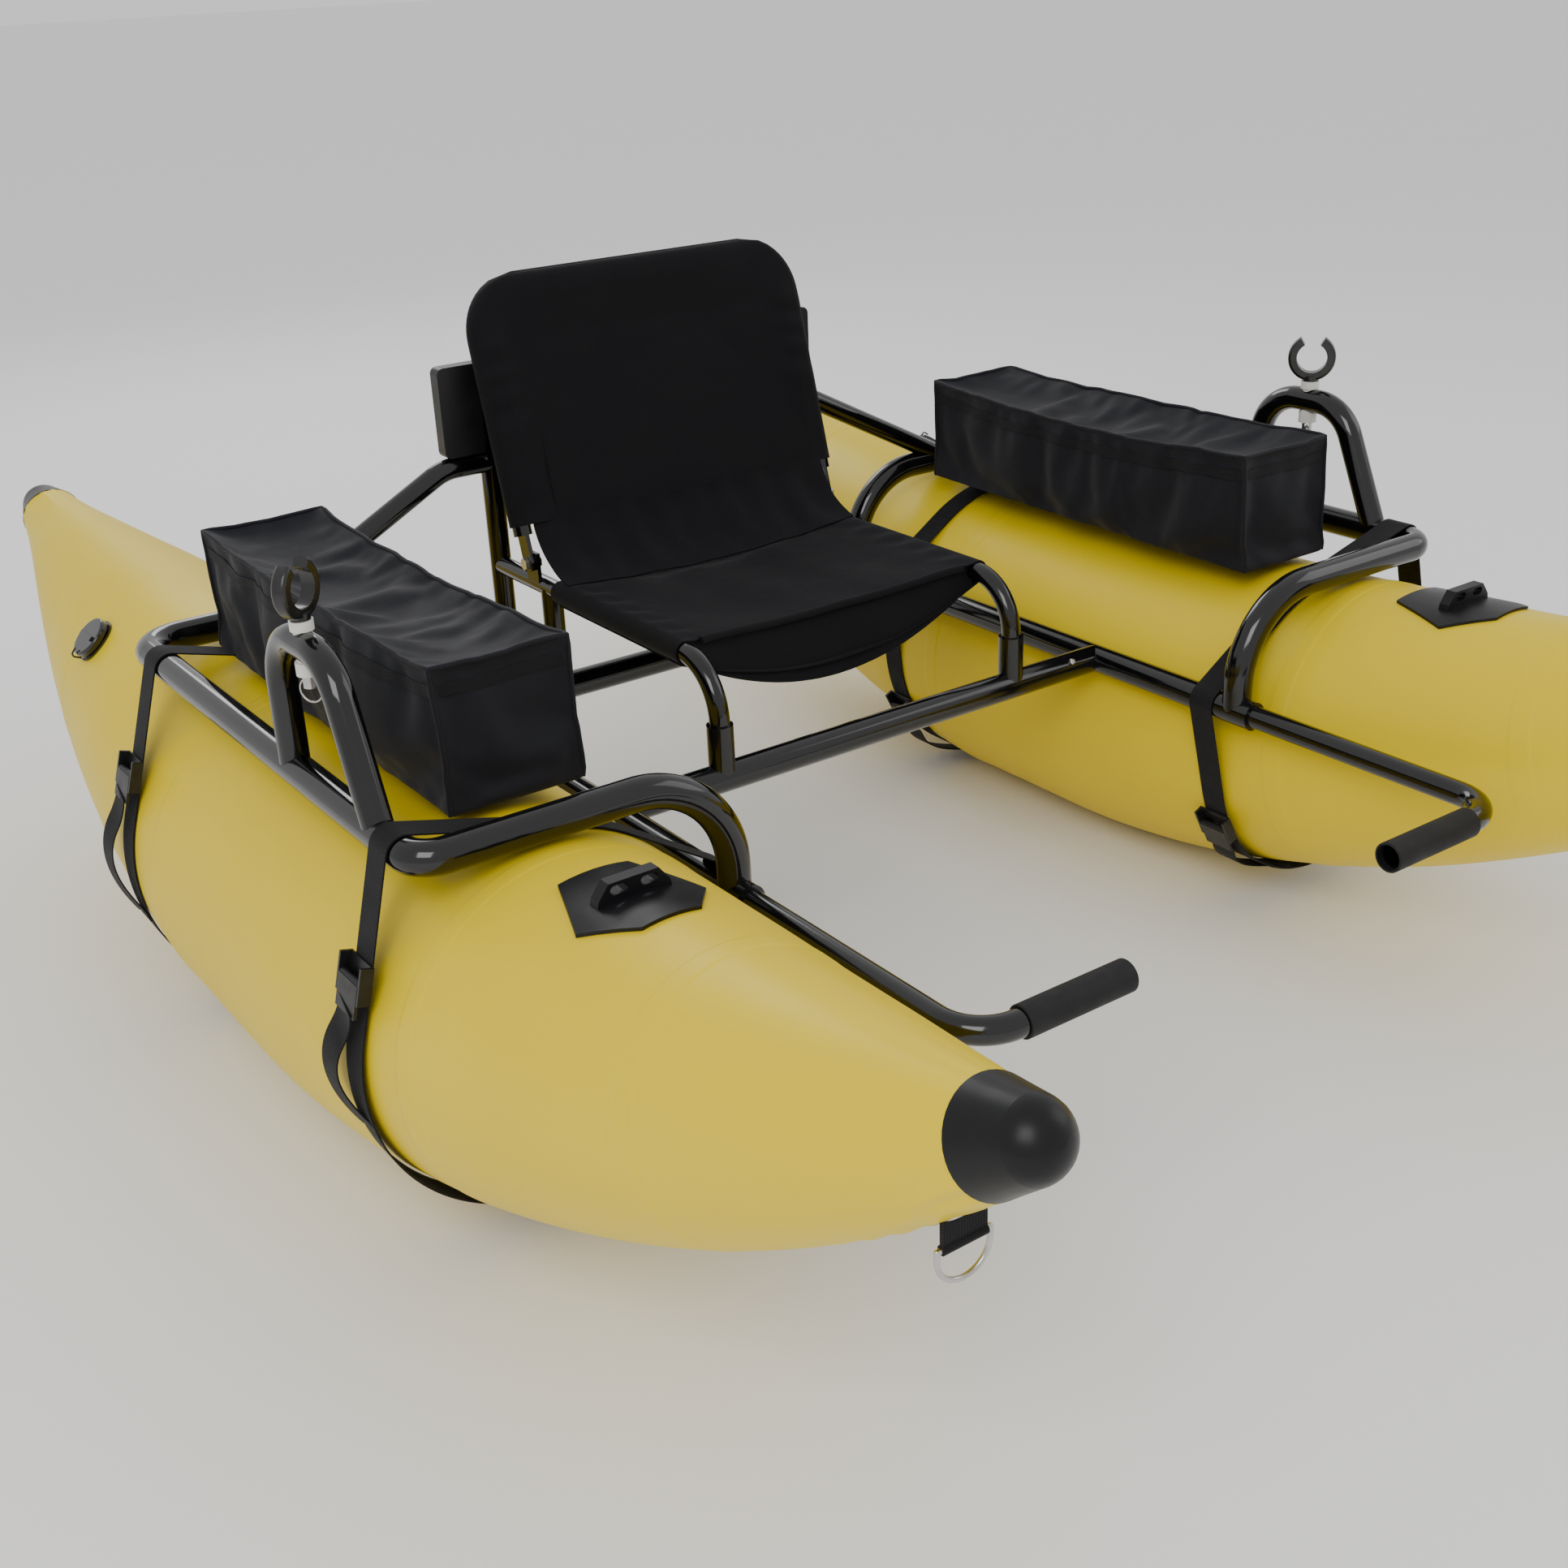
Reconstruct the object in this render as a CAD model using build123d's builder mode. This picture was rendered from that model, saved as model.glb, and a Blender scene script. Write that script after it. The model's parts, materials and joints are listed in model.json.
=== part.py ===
from build123d import *
import math
import os

# Pontoon boat, millimetres. Bow towards -Y, stern towards +Y, port at +X, +Z up.
# The origin is on the ground under the middle of the boat.

# pontoons
pontoon_radius = 192
pontoon_x = 522
belly_start = -112
belly_end = 88
half_length = 1065
bow_skin_end = -1005
stern_skin_end = 1005
bow_rise = 218
stern_rise = 181
tip_radius = 40
skin = 1.2
bow_seams = [-470, -740]
stern_seam = 520
cap_nose_radius = 30
cap_rim = 0.8

# frame tubes
rail_radius = 16
tube_wall = 1.5
outer_rail_x = 638
inner_rail_z = 287
front_arch_y = -435
rear_arch_y = 250
rail_stub = 60
front_corner_radius = 26
rear_corner_radius = 45
arch_bend = 100
rail_overrun = 26
rest_gap = 0.5
weld_gap = 0.1

# cross bars
front_bar_y = -215
rear_bar_y = 127
spigot_radius = 14.3
spigot_length = 60
button_inset = 34
button_radius = 3.8
button_proud = 3.5
button_angle = 40
button_flange = 5.5
button_seat = 0.6

# seat
seat_tube_radius = 11
seat_tube_wall = 1.4
seat_x = 200
seat_z = 410
leg_bend = 60
socket_radius = 14.25
socket_height = 44
rear_leg_radius = 12.5
sling_thickness = 1.8
sling_gap = 0.5
sling_rear_y = 106
sling_sag = 9
underlay_sag = 44

# seat back
back_x = 213
back_height = 323
back_lean = 16
pivot_y = 150
pivot_z = 437
pivot_radius = 4
back_tab_length = 40
back_tab_thickness = 5
back_corner_radius = 60
bracket_thickness = 4.5
cover_thickness = 1.5
cover_width_gap = 0.3

# motor mount
motor_tube_radius = 12.5
motor_arch_z = 536
motor_arch_half = 261
motor_foot_x = 495
motor_bend = 60
upright_bend = 50
board_width = 520
board_height = 104
board_thickness = 18
lug_width = 40
lug_height = 80
lug_root = 7.5
lug_thickness = 4
lug_x = 190
board_bolt_radius = 3
board_bolt_pitch = 36

# oarlock towers
tower_radius = 14
tower_z = 552
tower_rear_y = -185
tower_top_y = -305
tower_front_y = -366
tower_bend = 55
pin_radius = 6
pin_hole = 6.05
bushing_radius = 8.5
bushing_flange_radius = 10.5
upper_bushing_height = 9
lower_bushing_height = 12
pin_tail = 38
horn_inner_radius = 17.5
horn_section = 10
horn_depth = 14
horn_gap_angle = 62
port_horn_turn = -51
starboard_horn_turn = 34
ring_radius = 11
ring_wire = 0.9
ring_hole = 3.0
ring_drop = 26

# footrests
foot_radius = 12.5
foot_wall = 1.5
foot_clearance = 0.05
foot_corner_y = -769
foot_tip_x = 176
foot_bend = 45
foot_inside = 250
foot_sleeve = 40
foot_plug = 14.4
grip_radius = 15
grip_bore = 12.6
grip_length = 118
grip_overhang = 8

# storage bags
bag_x = 500
bag_width = 150
bag_front_y = -355
bag_rear_y = 205
bag_top = 540
bag_front_floor = 397
bag_wall = 2
bag_corner = 22

# straps
strap_width = 32
strap_thickness = 1.5
front_strap_y = -398
rear_strap_y = 165
buckle_width = 44
buckle_length = 34
buckle_plate = 2
buckle_cheek = 3
buckle_height = 12
lever_thickness = 3
lever_length = 30
lever_barrel = 3.6
buckle_pin_radius = 1.5
lever_bore = 1.55

# bow patches and towing rings
patch_y = -576
patch_length = 120
patch_width = 120
patch_thickness = 3
ridge_height = 16
ridge_length = 74
ridge_thickness = 12
ridge_hole_width = 16
ridge_hole_height = 8
ridge_hole_pitch = 28
tab_y = -975
tab_width = 38
tab_drop = 32
tab_ply = 1.6
ring_bar_radius = 2.2
ring_bar_clearance = 0.08
ring_inner_width = 41
tow_ring_height = 30

# valves
valve_y = 452
valve_angle = 46
valve_flange_radius = 27
valve_flange_thickness = 2.2
valve_neck_radius = 20
valve_neck_wall = 3.5
valve_neck_inside = 12
valve_neck_outside = 8
valve_hole_radius = 20.4
cap_radius = 25
cap_top_thickness = 3
cap_skirt_gap = 0.4
poppet_stem_radius = 3
poppet_disc_radius = 15
poppet_disc_thickness = 2.5
guide_thickness = 4
guide_arm = 7
tether_radius = 1.1

side_names = {"port": 1, "starboard": -1}
rail_inner_radius = rail_radius - tube_wall
os.makedirs("parts", exist_ok=True)


def along(y):
    """Share of the way from the belly to the skin's end at y."""
    if y < belly_start:
        return (belly_start - y) / (belly_start - bow_skin_end)
    return max(0.0, (y - belly_end) / (stern_skin_end - belly_end))


def section_height(y):
    if y < belly_start:
        return pontoon_radius + bow_rise * along(y) ** 1.95
    return pontoon_radius + stern_rise * along(y) ** 1.3


def section_radius(y):
    if y < belly_start:
        return tip_radius + (pontoon_radius - tip_radius) * (1 - along(y) ** 2)
    return tip_radius + (pontoon_radius - tip_radius) * (1 - along(y) ** 1.9) ** 1.21


def section_tilt(y):
    slope = section_height(y + 1) - section_height(y - 1)
    if along(y) > 0.99:
        inward = 1 if y < 0 else -1
        slope = 2 * inward * (section_height(y + inward) - section_height(y))
    return math.atan(slope / 2) * along(y)


def crown(y):
    return section_height(y) + section_radius(y)


def section_plane(side, y):
    tilt = section_tilt(y)
    origin = (side * pontoon_x, y, section_height(y))
    return Plane(origin=origin, x_dir=(1, 0, 0), z_dir=(0, math.cos(tilt), math.sin(tilt)))


bow_stations = [bow_skin_end, -930, -800, -640, front_arch_y, front_strap_y, -250, belly_start]
stern_stations = [belly_end, rear_strap_y, rear_arch_y, valve_y, 600, 780, 920, stern_skin_end]

# heights and widths that follow from the pontoons
rail_z = rail_radius + rest_gap + max(
    crown(front_arch_y), crown(front_arch_y - rail_radius),
    crown(rear_arch_y), crown(rear_arch_y + rail_radius))


def inner_reach(y):
    """How far inboard of the pontoon's centre a rail stands that rests on it at y."""
    reach = section_radius(y) + rail_radius + rest_gap
    drop = inner_rail_z - section_height(y)
    return math.sqrt(reach ** 2 - drop ** 2)


inner_rail_front = front_arch_y - rail_overrun
inner_rail_rear = rear_arch_y + rail_overrun
inner_rail_x = pontoon_x - max(
    inner_reach(y) for y in range(int(front_arch_y), int(inner_rail_rear) + 1, 20))


def straight_tube(start, end, radius, wall):
    with BuildPart() as tube:
        with BuildLine() as path:
            Line(start, end)
        with BuildSketch(Plane(origin=path.line @ 0, z_dir=path.line % 0)):
            Circle(radius)
            Circle(radius - wall, mode=Mode.SUBTRACT)
        sweep()
    return tube.part


def bent_tube(points, bends, radius, wall):
    with BuildPart() as tube:
        with BuildLine() as path:
            FilletPolyline(*points, radius=bends)
        with BuildSketch(Plane(origin=path.line @ 0, z_dir=path.line % 0)):
            Circle(radius)
            Circle(radius - wall, mode=Mode.SUBTRACT)
        sweep()
    return tube.part


def rod(start, end, radius):
    with BuildPart() as bar:
        direction = Vector(*end) - Vector(*start)
        with BuildSketch(Plane(origin=start, z_dir=direction)):
            Circle(radius)
        extrude(amount=direction.length)
    return bar.part


def trimmed(shape, *cutters):
    """A tube whose end is coped to the tubes it is welded to."""
    with BuildPart() as result:
        add(shape)
        for cutter in cutters:
            add(cutter, mode=Mode.SUBTRACT)
    return result.part


def half(shape, plane, keep):
    with BuildPart() as piece:
        add(shape)
        split(bisect_by=plane, keep=keep)
    return piece.part


def group(shapes):
    return Compound(children=[solid for shape in shapes for solid in shape.solids()])


def pontoon_run(side, stations, grow):
    with BuildPart() as run:
        for y in stations:
            with BuildSketch(section_plane(side, y)):
                Circle(section_radius(y) + grow)
        loft()
    return run.part


def pontoon_belly(side, grow):
    with BuildPart() as belly:
        with BuildSketch(section_plane(side, belly_start)):
            Circle(pontoon_radius + grow)
        extrude(amount=belly_end - belly_start)
    return belly.part


def pontoon_outside(side, grow):
    """The pontoon as a solid, larger by grow."""
    with BuildPart() as outside:
        add(pontoon_run(side, bow_stations, grow))
        add(pontoon_belly(side, grow))
        add(pontoon_run(side, stern_stations, grow))
    return outside.part


def valve_plane(side):
    """The valve's axis leaves the pontoon square to its skin."""
    angle = math.radians(valve_angle)
    radius = section_radius(valve_y)
    normal = (side * math.cos(angle), 0, math.sin(angle))
    origin = (side * (pontoon_x + radius * math.cos(angle)), valve_y,
              section_height(valve_y) + radius * math.sin(angle))
    return Plane(origin=origin, x_dir=(0, 1, 0), z_dir=normal)


def make_pontoon(side):
    """Skin panels from bow to stern, face to face at their seams."""
    with BuildPart() as bow:
        add(pontoon_run(side, bow_stations, 0))
        add(pontoon_run(side, bow_stations, -skin), mode=Mode.SUBTRACT)
    with BuildPart() as belly:
        add(pontoon_belly(side, 0))
        add(pontoon_belly(side, -skin), mode=Mode.SUBTRACT)
    with BuildPart() as stern:
        add(pontoon_run(side, stern_stations, 0))
        add(pontoon_run(side, stern_stations, -skin), mode=Mode.SUBTRACT)
        with BuildSketch(valve_plane(side)):
            Circle(valve_hole_radius)
        extrude(amount=30, both=True, mode=Mode.SUBTRACT)
    rear_seam, front_seam = [section_plane(side, y) for y in bow_seams]
    stern_plane = section_plane(side, stern_seam)
    panels = [
        half(half(bow.part, rear_seam, Keep.BOTTOM), front_seam, Keep.BOTTOM),
        half(half(bow.part, rear_seam, Keep.BOTTOM), front_seam, Keep.TOP),
        half(bow.part, rear_seam, Keep.TOP),
        belly.part,
        half(stern.part, stern_plane, Keep.BOTTOM),
        half(stern.part, stern_plane, Keep.TOP),
    ]
    return group(panels)


def make_nose_cap(side, y):
    """A moulded rubber nose whose round end reaches the boat's half length."""
    end = section_plane(side, y)
    outward = end.z_dir * (-1 if y < 0 else 1)
    centre = (half_length - cap_nose_radius - abs(y)) / abs(outward.Y)
    profile_plane = Plane(origin=end.origin, x_dir=(1, 0, 0), z_dir=Vector(1, 0, 0).cross(outward))
    with BuildPart() as nose_cap:
        with BuildSketch(profile_plane):
            with BuildLine():
                Line((-tip_radius - cap_rim, 0), (tip_radius + cap_rim, 0))
                CenterArc((0, centre), cap_nose_radius, 0, 360)
            make_hull()
            with Locations((-tip_radius, centre)):
                Rectangle(2 * tip_radius, 4 * tip_radius, mode=Mode.SUBTRACT)
        revolve(axis=Axis(end.origin, outward))
    return nose_cap.part


def make_valve_body(side):
    plane = valve_plane(side)
    with BuildPart() as body:
        with BuildSketch(plane.offset(-12)):
            Circle(valve_flange_radius)
        extrude(amount=24)
        add(pontoon_run(side, stern_stations, valve_flange_thickness + rest_gap), mode=Mode.INTERSECT)
        add(pontoon_run(side, stern_stations, rest_gap), mode=Mode.SUBTRACT)
        with BuildSketch(plane.offset(-valve_neck_inside)):
            Circle(valve_neck_radius)
        extrude(amount=valve_neck_inside + valve_neck_outside)
        with BuildSketch(plane.offset(guide_thickness - valve_neck_inside)):
            Circle(valve_neck_radius - valve_neck_wall)
        extrude(amount=60, mode=Mode.SUBTRACT)
        with BuildSketch(plane.offset(-valve_neck_inside)):
            Circle(valve_neck_radius - valve_neck_wall - 3.5)
            Rectangle(80, guide_arm, mode=Mode.SUBTRACT)
            Rectangle(guide_arm, 80, mode=Mode.SUBTRACT)
        extrude(amount=guide_thickness, mode=Mode.SUBTRACT)
        with BuildSketch(plane.offset(-valve_neck_inside)):
            Circle(poppet_stem_radius + foot_clearance)
        extrude(amount=guide_thickness, mode=Mode.SUBTRACT)
    return body.part


def make_tether(side):
    """The cap's keeper, a thin loop that stands on the valve's flange."""
    plane = valve_plane(side)
    foot = valve_flange_radius - 1.4 * tether_radius
    with BuildPart() as tether:
        with BuildLine(Plane(origin=plane.origin, x_dir=plane.y_dir, z_dir=plane.x_dir)) as path:
            FilletPolyline(
                (foot, 1.5), (foot + 5, 13), (cap_radius - 6, valve_neck_outside + 6.5),
                radius=4)
        with BuildSketch(Plane(origin=path.line @ 0, z_dir=path.line % 0)):
            Circle(tether_radius)
        sweep()
    return tether.part


def make_valve_cap(side):
    plane = valve_plane(side)
    base = valve_flange_thickness + 1.6
    top = valve_neck_outside + cap_skirt_gap + cap_top_thickness
    with BuildPart() as cap:
        with BuildSketch(plane.offset(base)):
            Circle(cap_radius)
        extrude(amount=top - base)
        fillet(cap.faces().sort_by(Axis(plane.origin, plane.z_dir))[-1].edges(), 2.5)
        with BuildSketch(plane.offset(base)):
            Circle(valve_neck_radius + cap_skirt_gap)
        extrude(amount=valve_neck_outside + cap_skirt_gap - base, mode=Mode.SUBTRACT)
        with BuildSketch(plane.offset(top)):
            Rectangle(2 * cap_radius - 14, 6)
        extrude(amount=2.4)
    return cap.part


def make_poppet(side):
    plane = valve_plane(side)
    with BuildPart() as poppet:
        with BuildSketch(plane.offset(-valve_neck_inside - 0.3)):
            Circle(poppet_disc_radius)
        extrude(amount=-poppet_disc_thickness)
        with BuildSketch(plane.offset(-valve_neck_inside - 1)):
            Circle(poppet_stem_radius)
        extrude(amount=valve_neck_inside + 4)
    return poppet.part


def make_outer_rail(side):
    x = side * outer_rail_x
    points = [(side * (outer_rail_x - rail_stub), front_arch_y, rail_z), (x, front_arch_y, rail_z),
              (x, rear_arch_y, rail_z), (side * (outer_rail_x - rail_stub), rear_arch_y, rail_z)]
    return bent_tube(points, [front_corner_radius, rear_corner_radius], rail_radius, tube_wall)


def inner_rail_solid(side, grow=0.0):
    x = side * inner_rail_x
    front = (x, inner_rail_front - grow, inner_rail_z)
    return rod(front, (x, inner_rail_rear + grow, inner_rail_z), rail_radius + grow)


def make_arch(side, y):
    points = [(side * (outer_rail_x - rail_stub), y, rail_z), (side * inner_rail_x, y, rail_z),
              (side * inner_rail_x, y, inner_rail_z)]
    return trimmed(bent_tube(points, arch_bend, rail_radius, tube_wall), inner_rail_solid(side, weld_gap))


def button_plane(side, y):
    """A snap button's axis, leaning forward from the cross bar, origin on the bar's axis."""
    angle = math.radians(button_angle)
    x = side * (inner_rail_x - rail_radius - button_inset)
    return Plane(origin=(x, y, inner_rail_z), x_dir=(1, 0, 0),
                 z_dir=(0, -math.cos(angle), math.sin(angle)))


def make_inner_rail(side):
    """The lower rail, with a spigot for each cross bar and a guide for the footrest."""
    x = side * inner_rail_x
    with BuildPart() as rail:
        add(inner_rail_solid(side))
        for y in (front_bar_y, rear_bar_y):
            tip = side * (inner_rail_x - rail_radius - spigot_length)
            add(rod((x, y, inner_rail_z), (tip, y, inner_rail_z), spigot_radius))
            add(rod((x, y, inner_rail_z), (tip, y, inner_rail_z), spigot_radius - tube_wall),
                mode=Mode.SUBTRACT)
            with BuildSketch(button_plane(side, y)):
                Circle(button_radius + 0.2)
            extrude(amount=2 * rail_radius, mode=Mode.SUBTRACT)
        bore = rod((x, inner_rail_front + foot_sleeve, inner_rail_z),
                   (x, inner_rail_rear - 3, inner_rail_z), rail_inner_radius)
        add(rod((x, inner_rail_front, inner_rail_z), (x, inner_rail_rear, inner_rail_z), rail_radius))
        add(bore, mode=Mode.SUBTRACT)
        add(rod((x, inner_rail_front, inner_rail_z), (x, inner_rail_front + foot_sleeve, inner_rail_z),
                foot_radius + foot_clearance), mode=Mode.SUBTRACT)
    return rail.part


def make_cross_bar(y, with_sockets):
    end = inner_rail_x - rail_radius
    with BuildPart() as bar:
        add(rod((-inner_rail_x, y, inner_rail_z), (inner_rail_x, y, inner_rail_z), rail_radius))
        if with_sockets:
            for x in (-seat_x, seat_x):
                add(rod((x, y, inner_rail_z), (x, y, inner_rail_z + rail_radius + socket_height),
                        socket_radius))
                add(rod((x, y, inner_rail_z + rail_radius),
                        (x, y, inner_rail_z + rail_radius + socket_height + 1),
                        seat_tube_radius + 0.1), mode=Mode.SUBTRACT)
        add(rod((-inner_rail_x, y, inner_rail_z), (inner_rail_x, y, inner_rail_z), rail_inner_radius),
            mode=Mode.SUBTRACT)
        for side in (-1, 1):
            x = side * inner_rail_x
            add(rod((x, y - 60, inner_rail_z), (x, y + 60, inner_rail_z), rail_radius + weld_gap),
                mode=Mode.SUBTRACT)
            with BuildSketch(button_plane(side, y)):
                Circle(button_radius + 0.2)
            extrude(amount=2 * rail_radius, mode=Mode.SUBTRACT)
    return bar.part


def make_snap_button(side, y):
    plane = button_plane(side, y)
    seat = spigot_radius - tube_wall - button_seat
    with BuildPart() as button:
        with BuildSketch(plane.offset(seat - 4)):
            Circle(button_radius)
        extrude(amount=rail_radius + button_proud - seat + 4)
        fillet(button.faces().sort_by(Axis(plane.origin, plane.z_dir))[-1].edges(), 2)
        with BuildSketch(plane.offset(seat - 3)):
            Circle(button_flange)
        extrude(amount=1.6)
    return button.part


def make_tower(side):
    x = side * outer_rail_x
    points = [(x, tower_rear_y, rail_z), (x, tower_rear_y, tower_z), (x, tower_top_y, tower_z),
              (x, tower_front_y, rail_z)]
    rail = rod((x, front_arch_y, rail_z), (x, rear_arch_y, rail_z), rail_radius + weld_gap)
    pin_y = tower_pin_y()
    with BuildPart() as tower:
        add(bent_tube(points, tower_bend, tower_radius, tube_wall))
        add(rail, mode=Mode.SUBTRACT)
        add(rod((x, pin_y, tower_z - 40), (x, pin_y, tower_z + 40), bushing_radius + 0.05),
            mode=Mode.SUBTRACT)
    return tower.part


def tower_pin_y():
    """The middle of the level run between the tower's two bends."""
    lean = math.atan2(tower_z - rail_z, tower_top_y - tower_front_y)
    front_tangent = tower_bend * math.tan(lean / 2)
    return ((tower_rear_y - tower_bend) + (tower_top_y + front_tangent)) / 2


def make_bushings(side):
    """A flanged nylon sleeve above the tower's top and one below."""
    x = side * outer_rail_x
    y = tower_pin_y()
    sleeves = []
    for up, height in ((1, upper_bushing_height), (-1, lower_bushing_height)):
        with BuildPart() as bushing:
            face = tower_z + up * (tower_radius + 0.1)
            with BuildSketch(Plane(origin=(x, y, tower_z + up * 0.3), z_dir=(0, 0, up))):
                Circle(bushing_radius)
            extrude(amount=tower_radius)
            with BuildSketch(Plane(origin=(x, y, face), z_dir=(0, 0, up))):
                Circle(bushing_flange_radius)
            extrude(amount=height)
            with BuildSketch(Plane(origin=(x, y, tower_z - 60))):
                Circle(pin_hole)
            extrude(amount=120, mode=Mode.SUBTRACT)
        sleeves.append(bushing.part.solids()[0])
    return sleeves


def horn_turn(side):
    return port_horn_turn if side > 0 else starboard_horn_turn


def make_oarlock(side):
    """The open horn and its pin in one casting, with a cross hole for the split ring."""
    x = side * outer_rail_x
    y = tower_pin_y()
    turn = math.radians(horn_turn(side))
    facing = Vector(math.sin(turn), -math.cos(turn), 0)
    shoulder = tower_z + tower_radius + upper_bushing_height + 0.4
    centre_z = shoulder + horn_inner_radius + horn_section
    horn_plane = Plane(origin=(x, y, centre_z), x_dir=Vector(0, 0, 1).cross(facing), z_dir=facing)
    outer = horn_inner_radius + horn_section
    with BuildPart() as oarlock:
        with BuildSketch(horn_plane.offset(-horn_depth / 2)):
            Circle(outer)
            Circle(horn_inner_radius, mode=Mode.SUBTRACT)
            reach = 2 * outer
            half = math.radians(horn_gap_angle / 2)
            with BuildLine():
                Polyline((0, 0), (-reach * math.tan(half), reach), (reach * math.tan(half), reach), close=True)
            make_face(mode=Mode.SUBTRACT)
        extrude(amount=horn_depth)
        round_edges = oarlock.edges().filter_by(GeomType.CIRCLE)
        fillet([e for e in round_edges if abs(e.radius - outer) < 0.01], 3.5)
        with BuildSketch(Plane(origin=(x, y, shoulder))):
            Circle(9)
        extrude(amount=6)
        with BuildSketch(horn_plane.offset(-horn_depth / 2 - 5)):
            Circle(horn_inner_radius)
        extrude(amount=horn_depth + 10, mode=Mode.SUBTRACT)
        with BuildSketch(Plane(origin=(x, y, shoulder + 1))):
            Circle(pin_radius)
        extrude(amount=-(shoulder + 1 - tower_z + pin_tail))
        with BuildSketch(Plane(origin=(x, y, tower_z - ring_drop - 4), z_dir=facing)):
            Circle(ring_hole)
        extrude(amount=20, both=True, mode=Mode.SUBTRACT)
    return oarlock.part


def make_split_ring(side):
    x = side * outer_rail_x
    y = tower_pin_y()
    turn = math.radians(horn_turn(side))
    facing = Vector(math.sin(turn), -math.cos(turn), 0)
    centre = (x, y, tower_z - ring_drop - 4 - ring_radius)
    normal = Vector(0, 0, 1).cross(facing)
    with BuildPart() as ring:
        with BuildSketch(Plane(origin=centre, x_dir=(0, 0, 1), z_dir=facing)):
            with Locations((-ring_radius, 0)):
                Circle(ring_wire)
        revolve(axis=Axis(centre, normal))
    return ring.part


def make_footrest(side):
    x = side * inner_rail_x
    start_y = inner_rail_front + foot_inside
    points = [(x, start_y, inner_rail_z), (x, foot_corner_y, inner_rail_z),
              (side * foot_tip_x, foot_corner_y, inner_rail_z)]
    with BuildPart() as footrest:
        add(bent_tube(points, foot_bend, foot_radius, foot_wall))
        add(rod((x, start_y, inner_rail_z), (x, start_y - 12, inner_rail_z), foot_plug))
    return footrest.part


def make_grip(side):
    tip = foot_tip_x - grip_overhang
    with BuildPart() as grip:
        with BuildSketch(Plane(origin=(side * tip, foot_corner_y, inner_rail_z), z_dir=(side, 0, 0))):
            Circle(grip_radius)
            Circle(grip_bore, mode=Mode.SUBTRACT)
        extrude(amount=grip_length)
        outer_edges = grip.edges().filter_by(GeomType.CIRCLE)
        chamfer([e for e in outer_edges if abs(e.radius - grip_radius) < 0.01], 0.8)
    return grip.part


def make_seat_side(x):
    start_z = inner_rail_z + rail_radius + 0.3
    points = [(x, front_bar_y, start_z), (x, front_bar_y, seat_z), (x, rear_arch_y, seat_z)]
    upright = rod((x, rear_arch_y, seat_z - 40), (x, rear_arch_y, seat_z + 40), motor_tube_radius + weld_gap)
    outward = 1 if x > 0 else -1
    inner_face = back_x - back_tab_thickness / 2 - 0.3 - bracket_thickness
    bracket_low = seat_z - 6
    bracket_high = pivot_z + 13
    with BuildPart() as tube:
        add(bent_tube(points, leg_bend, seat_tube_radius, seat_tube_wall))
        add(upright, mode=Mode.SUBTRACT)
        with BuildSketch(Plane(origin=(outward * inner_face, pivot_y, (bracket_low + bracket_high) / 2),
                               x_dir=(0, 1, 0), z_dir=(outward, 0, 0))):
            Rectangle(26, bracket_high - bracket_low)
        extrude(amount=bracket_thickness)
        add(rod((x, pivot_y - 40, seat_z), (x, pivot_y + 40, seat_z), seat_tube_radius - seat_tube_wall),
            mode=Mode.SUBTRACT)
        add(rod((x, pivot_y, pivot_z), (x + outward * 60, pivot_y, pivot_z), pivot_radius + 0.05),
            mode=Mode.SUBTRACT)
    return tube.part


def make_rear_leg(x):
    bar = rod((x - 60, rear_bar_y, inner_rail_z), (x + 60, rear_bar_y, inner_rail_z), rail_radius + weld_gap)
    seat_tube = rod((x, rear_bar_y - 60, seat_z), (x, rear_bar_y + 60, seat_z), seat_tube_radius + weld_gap)
    leg = straight_tube((x, rear_bar_y, inner_rail_z), (x, rear_bar_y, seat_z), rear_leg_radius, tube_wall)
    return trimmed(leg, bar, seat_tube)


def make_upright(x):
    bar = rod((x - 60, rear_bar_y, inner_rail_z), (x + 60, rear_bar_y, inner_rail_z), rail_radius + weld_gap)
    arch = rod((x - 60, rear_arch_y, motor_arch_z), (x + 60, rear_arch_y, motor_arch_z),
               motor_tube_radius + weld_gap)
    leg = rod((x, rear_bar_y, inner_rail_z), (x, rear_bar_y, seat_z), rear_leg_radius + weld_gap)
    points = [(x, rear_bar_y, inner_rail_z), (x, rear_arch_y, inner_rail_z), (x, rear_arch_y, motor_arch_z)]
    return trimmed(bent_tube(points, upright_bend, motor_tube_radius, tube_wall), bar, arch, leg)


def make_motor_arch():
    foot = (motor_foot_x, rear_arch_y, rail_z)
    points = [(-foot[0], foot[1], foot[2]), (-motor_arch_half, rear_arch_y, motor_arch_z),
              (motor_arch_half, rear_arch_y, motor_arch_z), foot]
    with BuildPart() as arch:
        add(bent_tube(points, motor_bend, motor_tube_radius, tube_wall))
        for side in (-1, 1):
            add(rod((side * 340, rear_arch_y, rail_z), (side * 600, rear_arch_y, rail_z),
                    rail_radius + weld_gap), mode=Mode.SUBTRACT)
            lug_low = motor_arch_z + motor_tube_radius - lug_root
            with BuildSketch(Plane(origin=(side * lug_x, lug_y(), lug_low + lug_height / 2),
                                   x_dir=(1, 0, 0), z_dir=(0, -1, 0))):
                Rectangle(lug_width, lug_height)
            extrude(amount=lug_thickness)
            for height in bolt_heights():
                add(rod((side * lug_x, rear_arch_y - 60, height), (side * lug_x, rear_arch_y + 60, height),
                        board_bolt_radius + 0.1), mode=Mode.SUBTRACT)
    return arch.part


def lug_y():
    """The lugs' rear face, against which the board stands."""
    return rear_arch_y - board_thickness / 2 - 0.2


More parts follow.
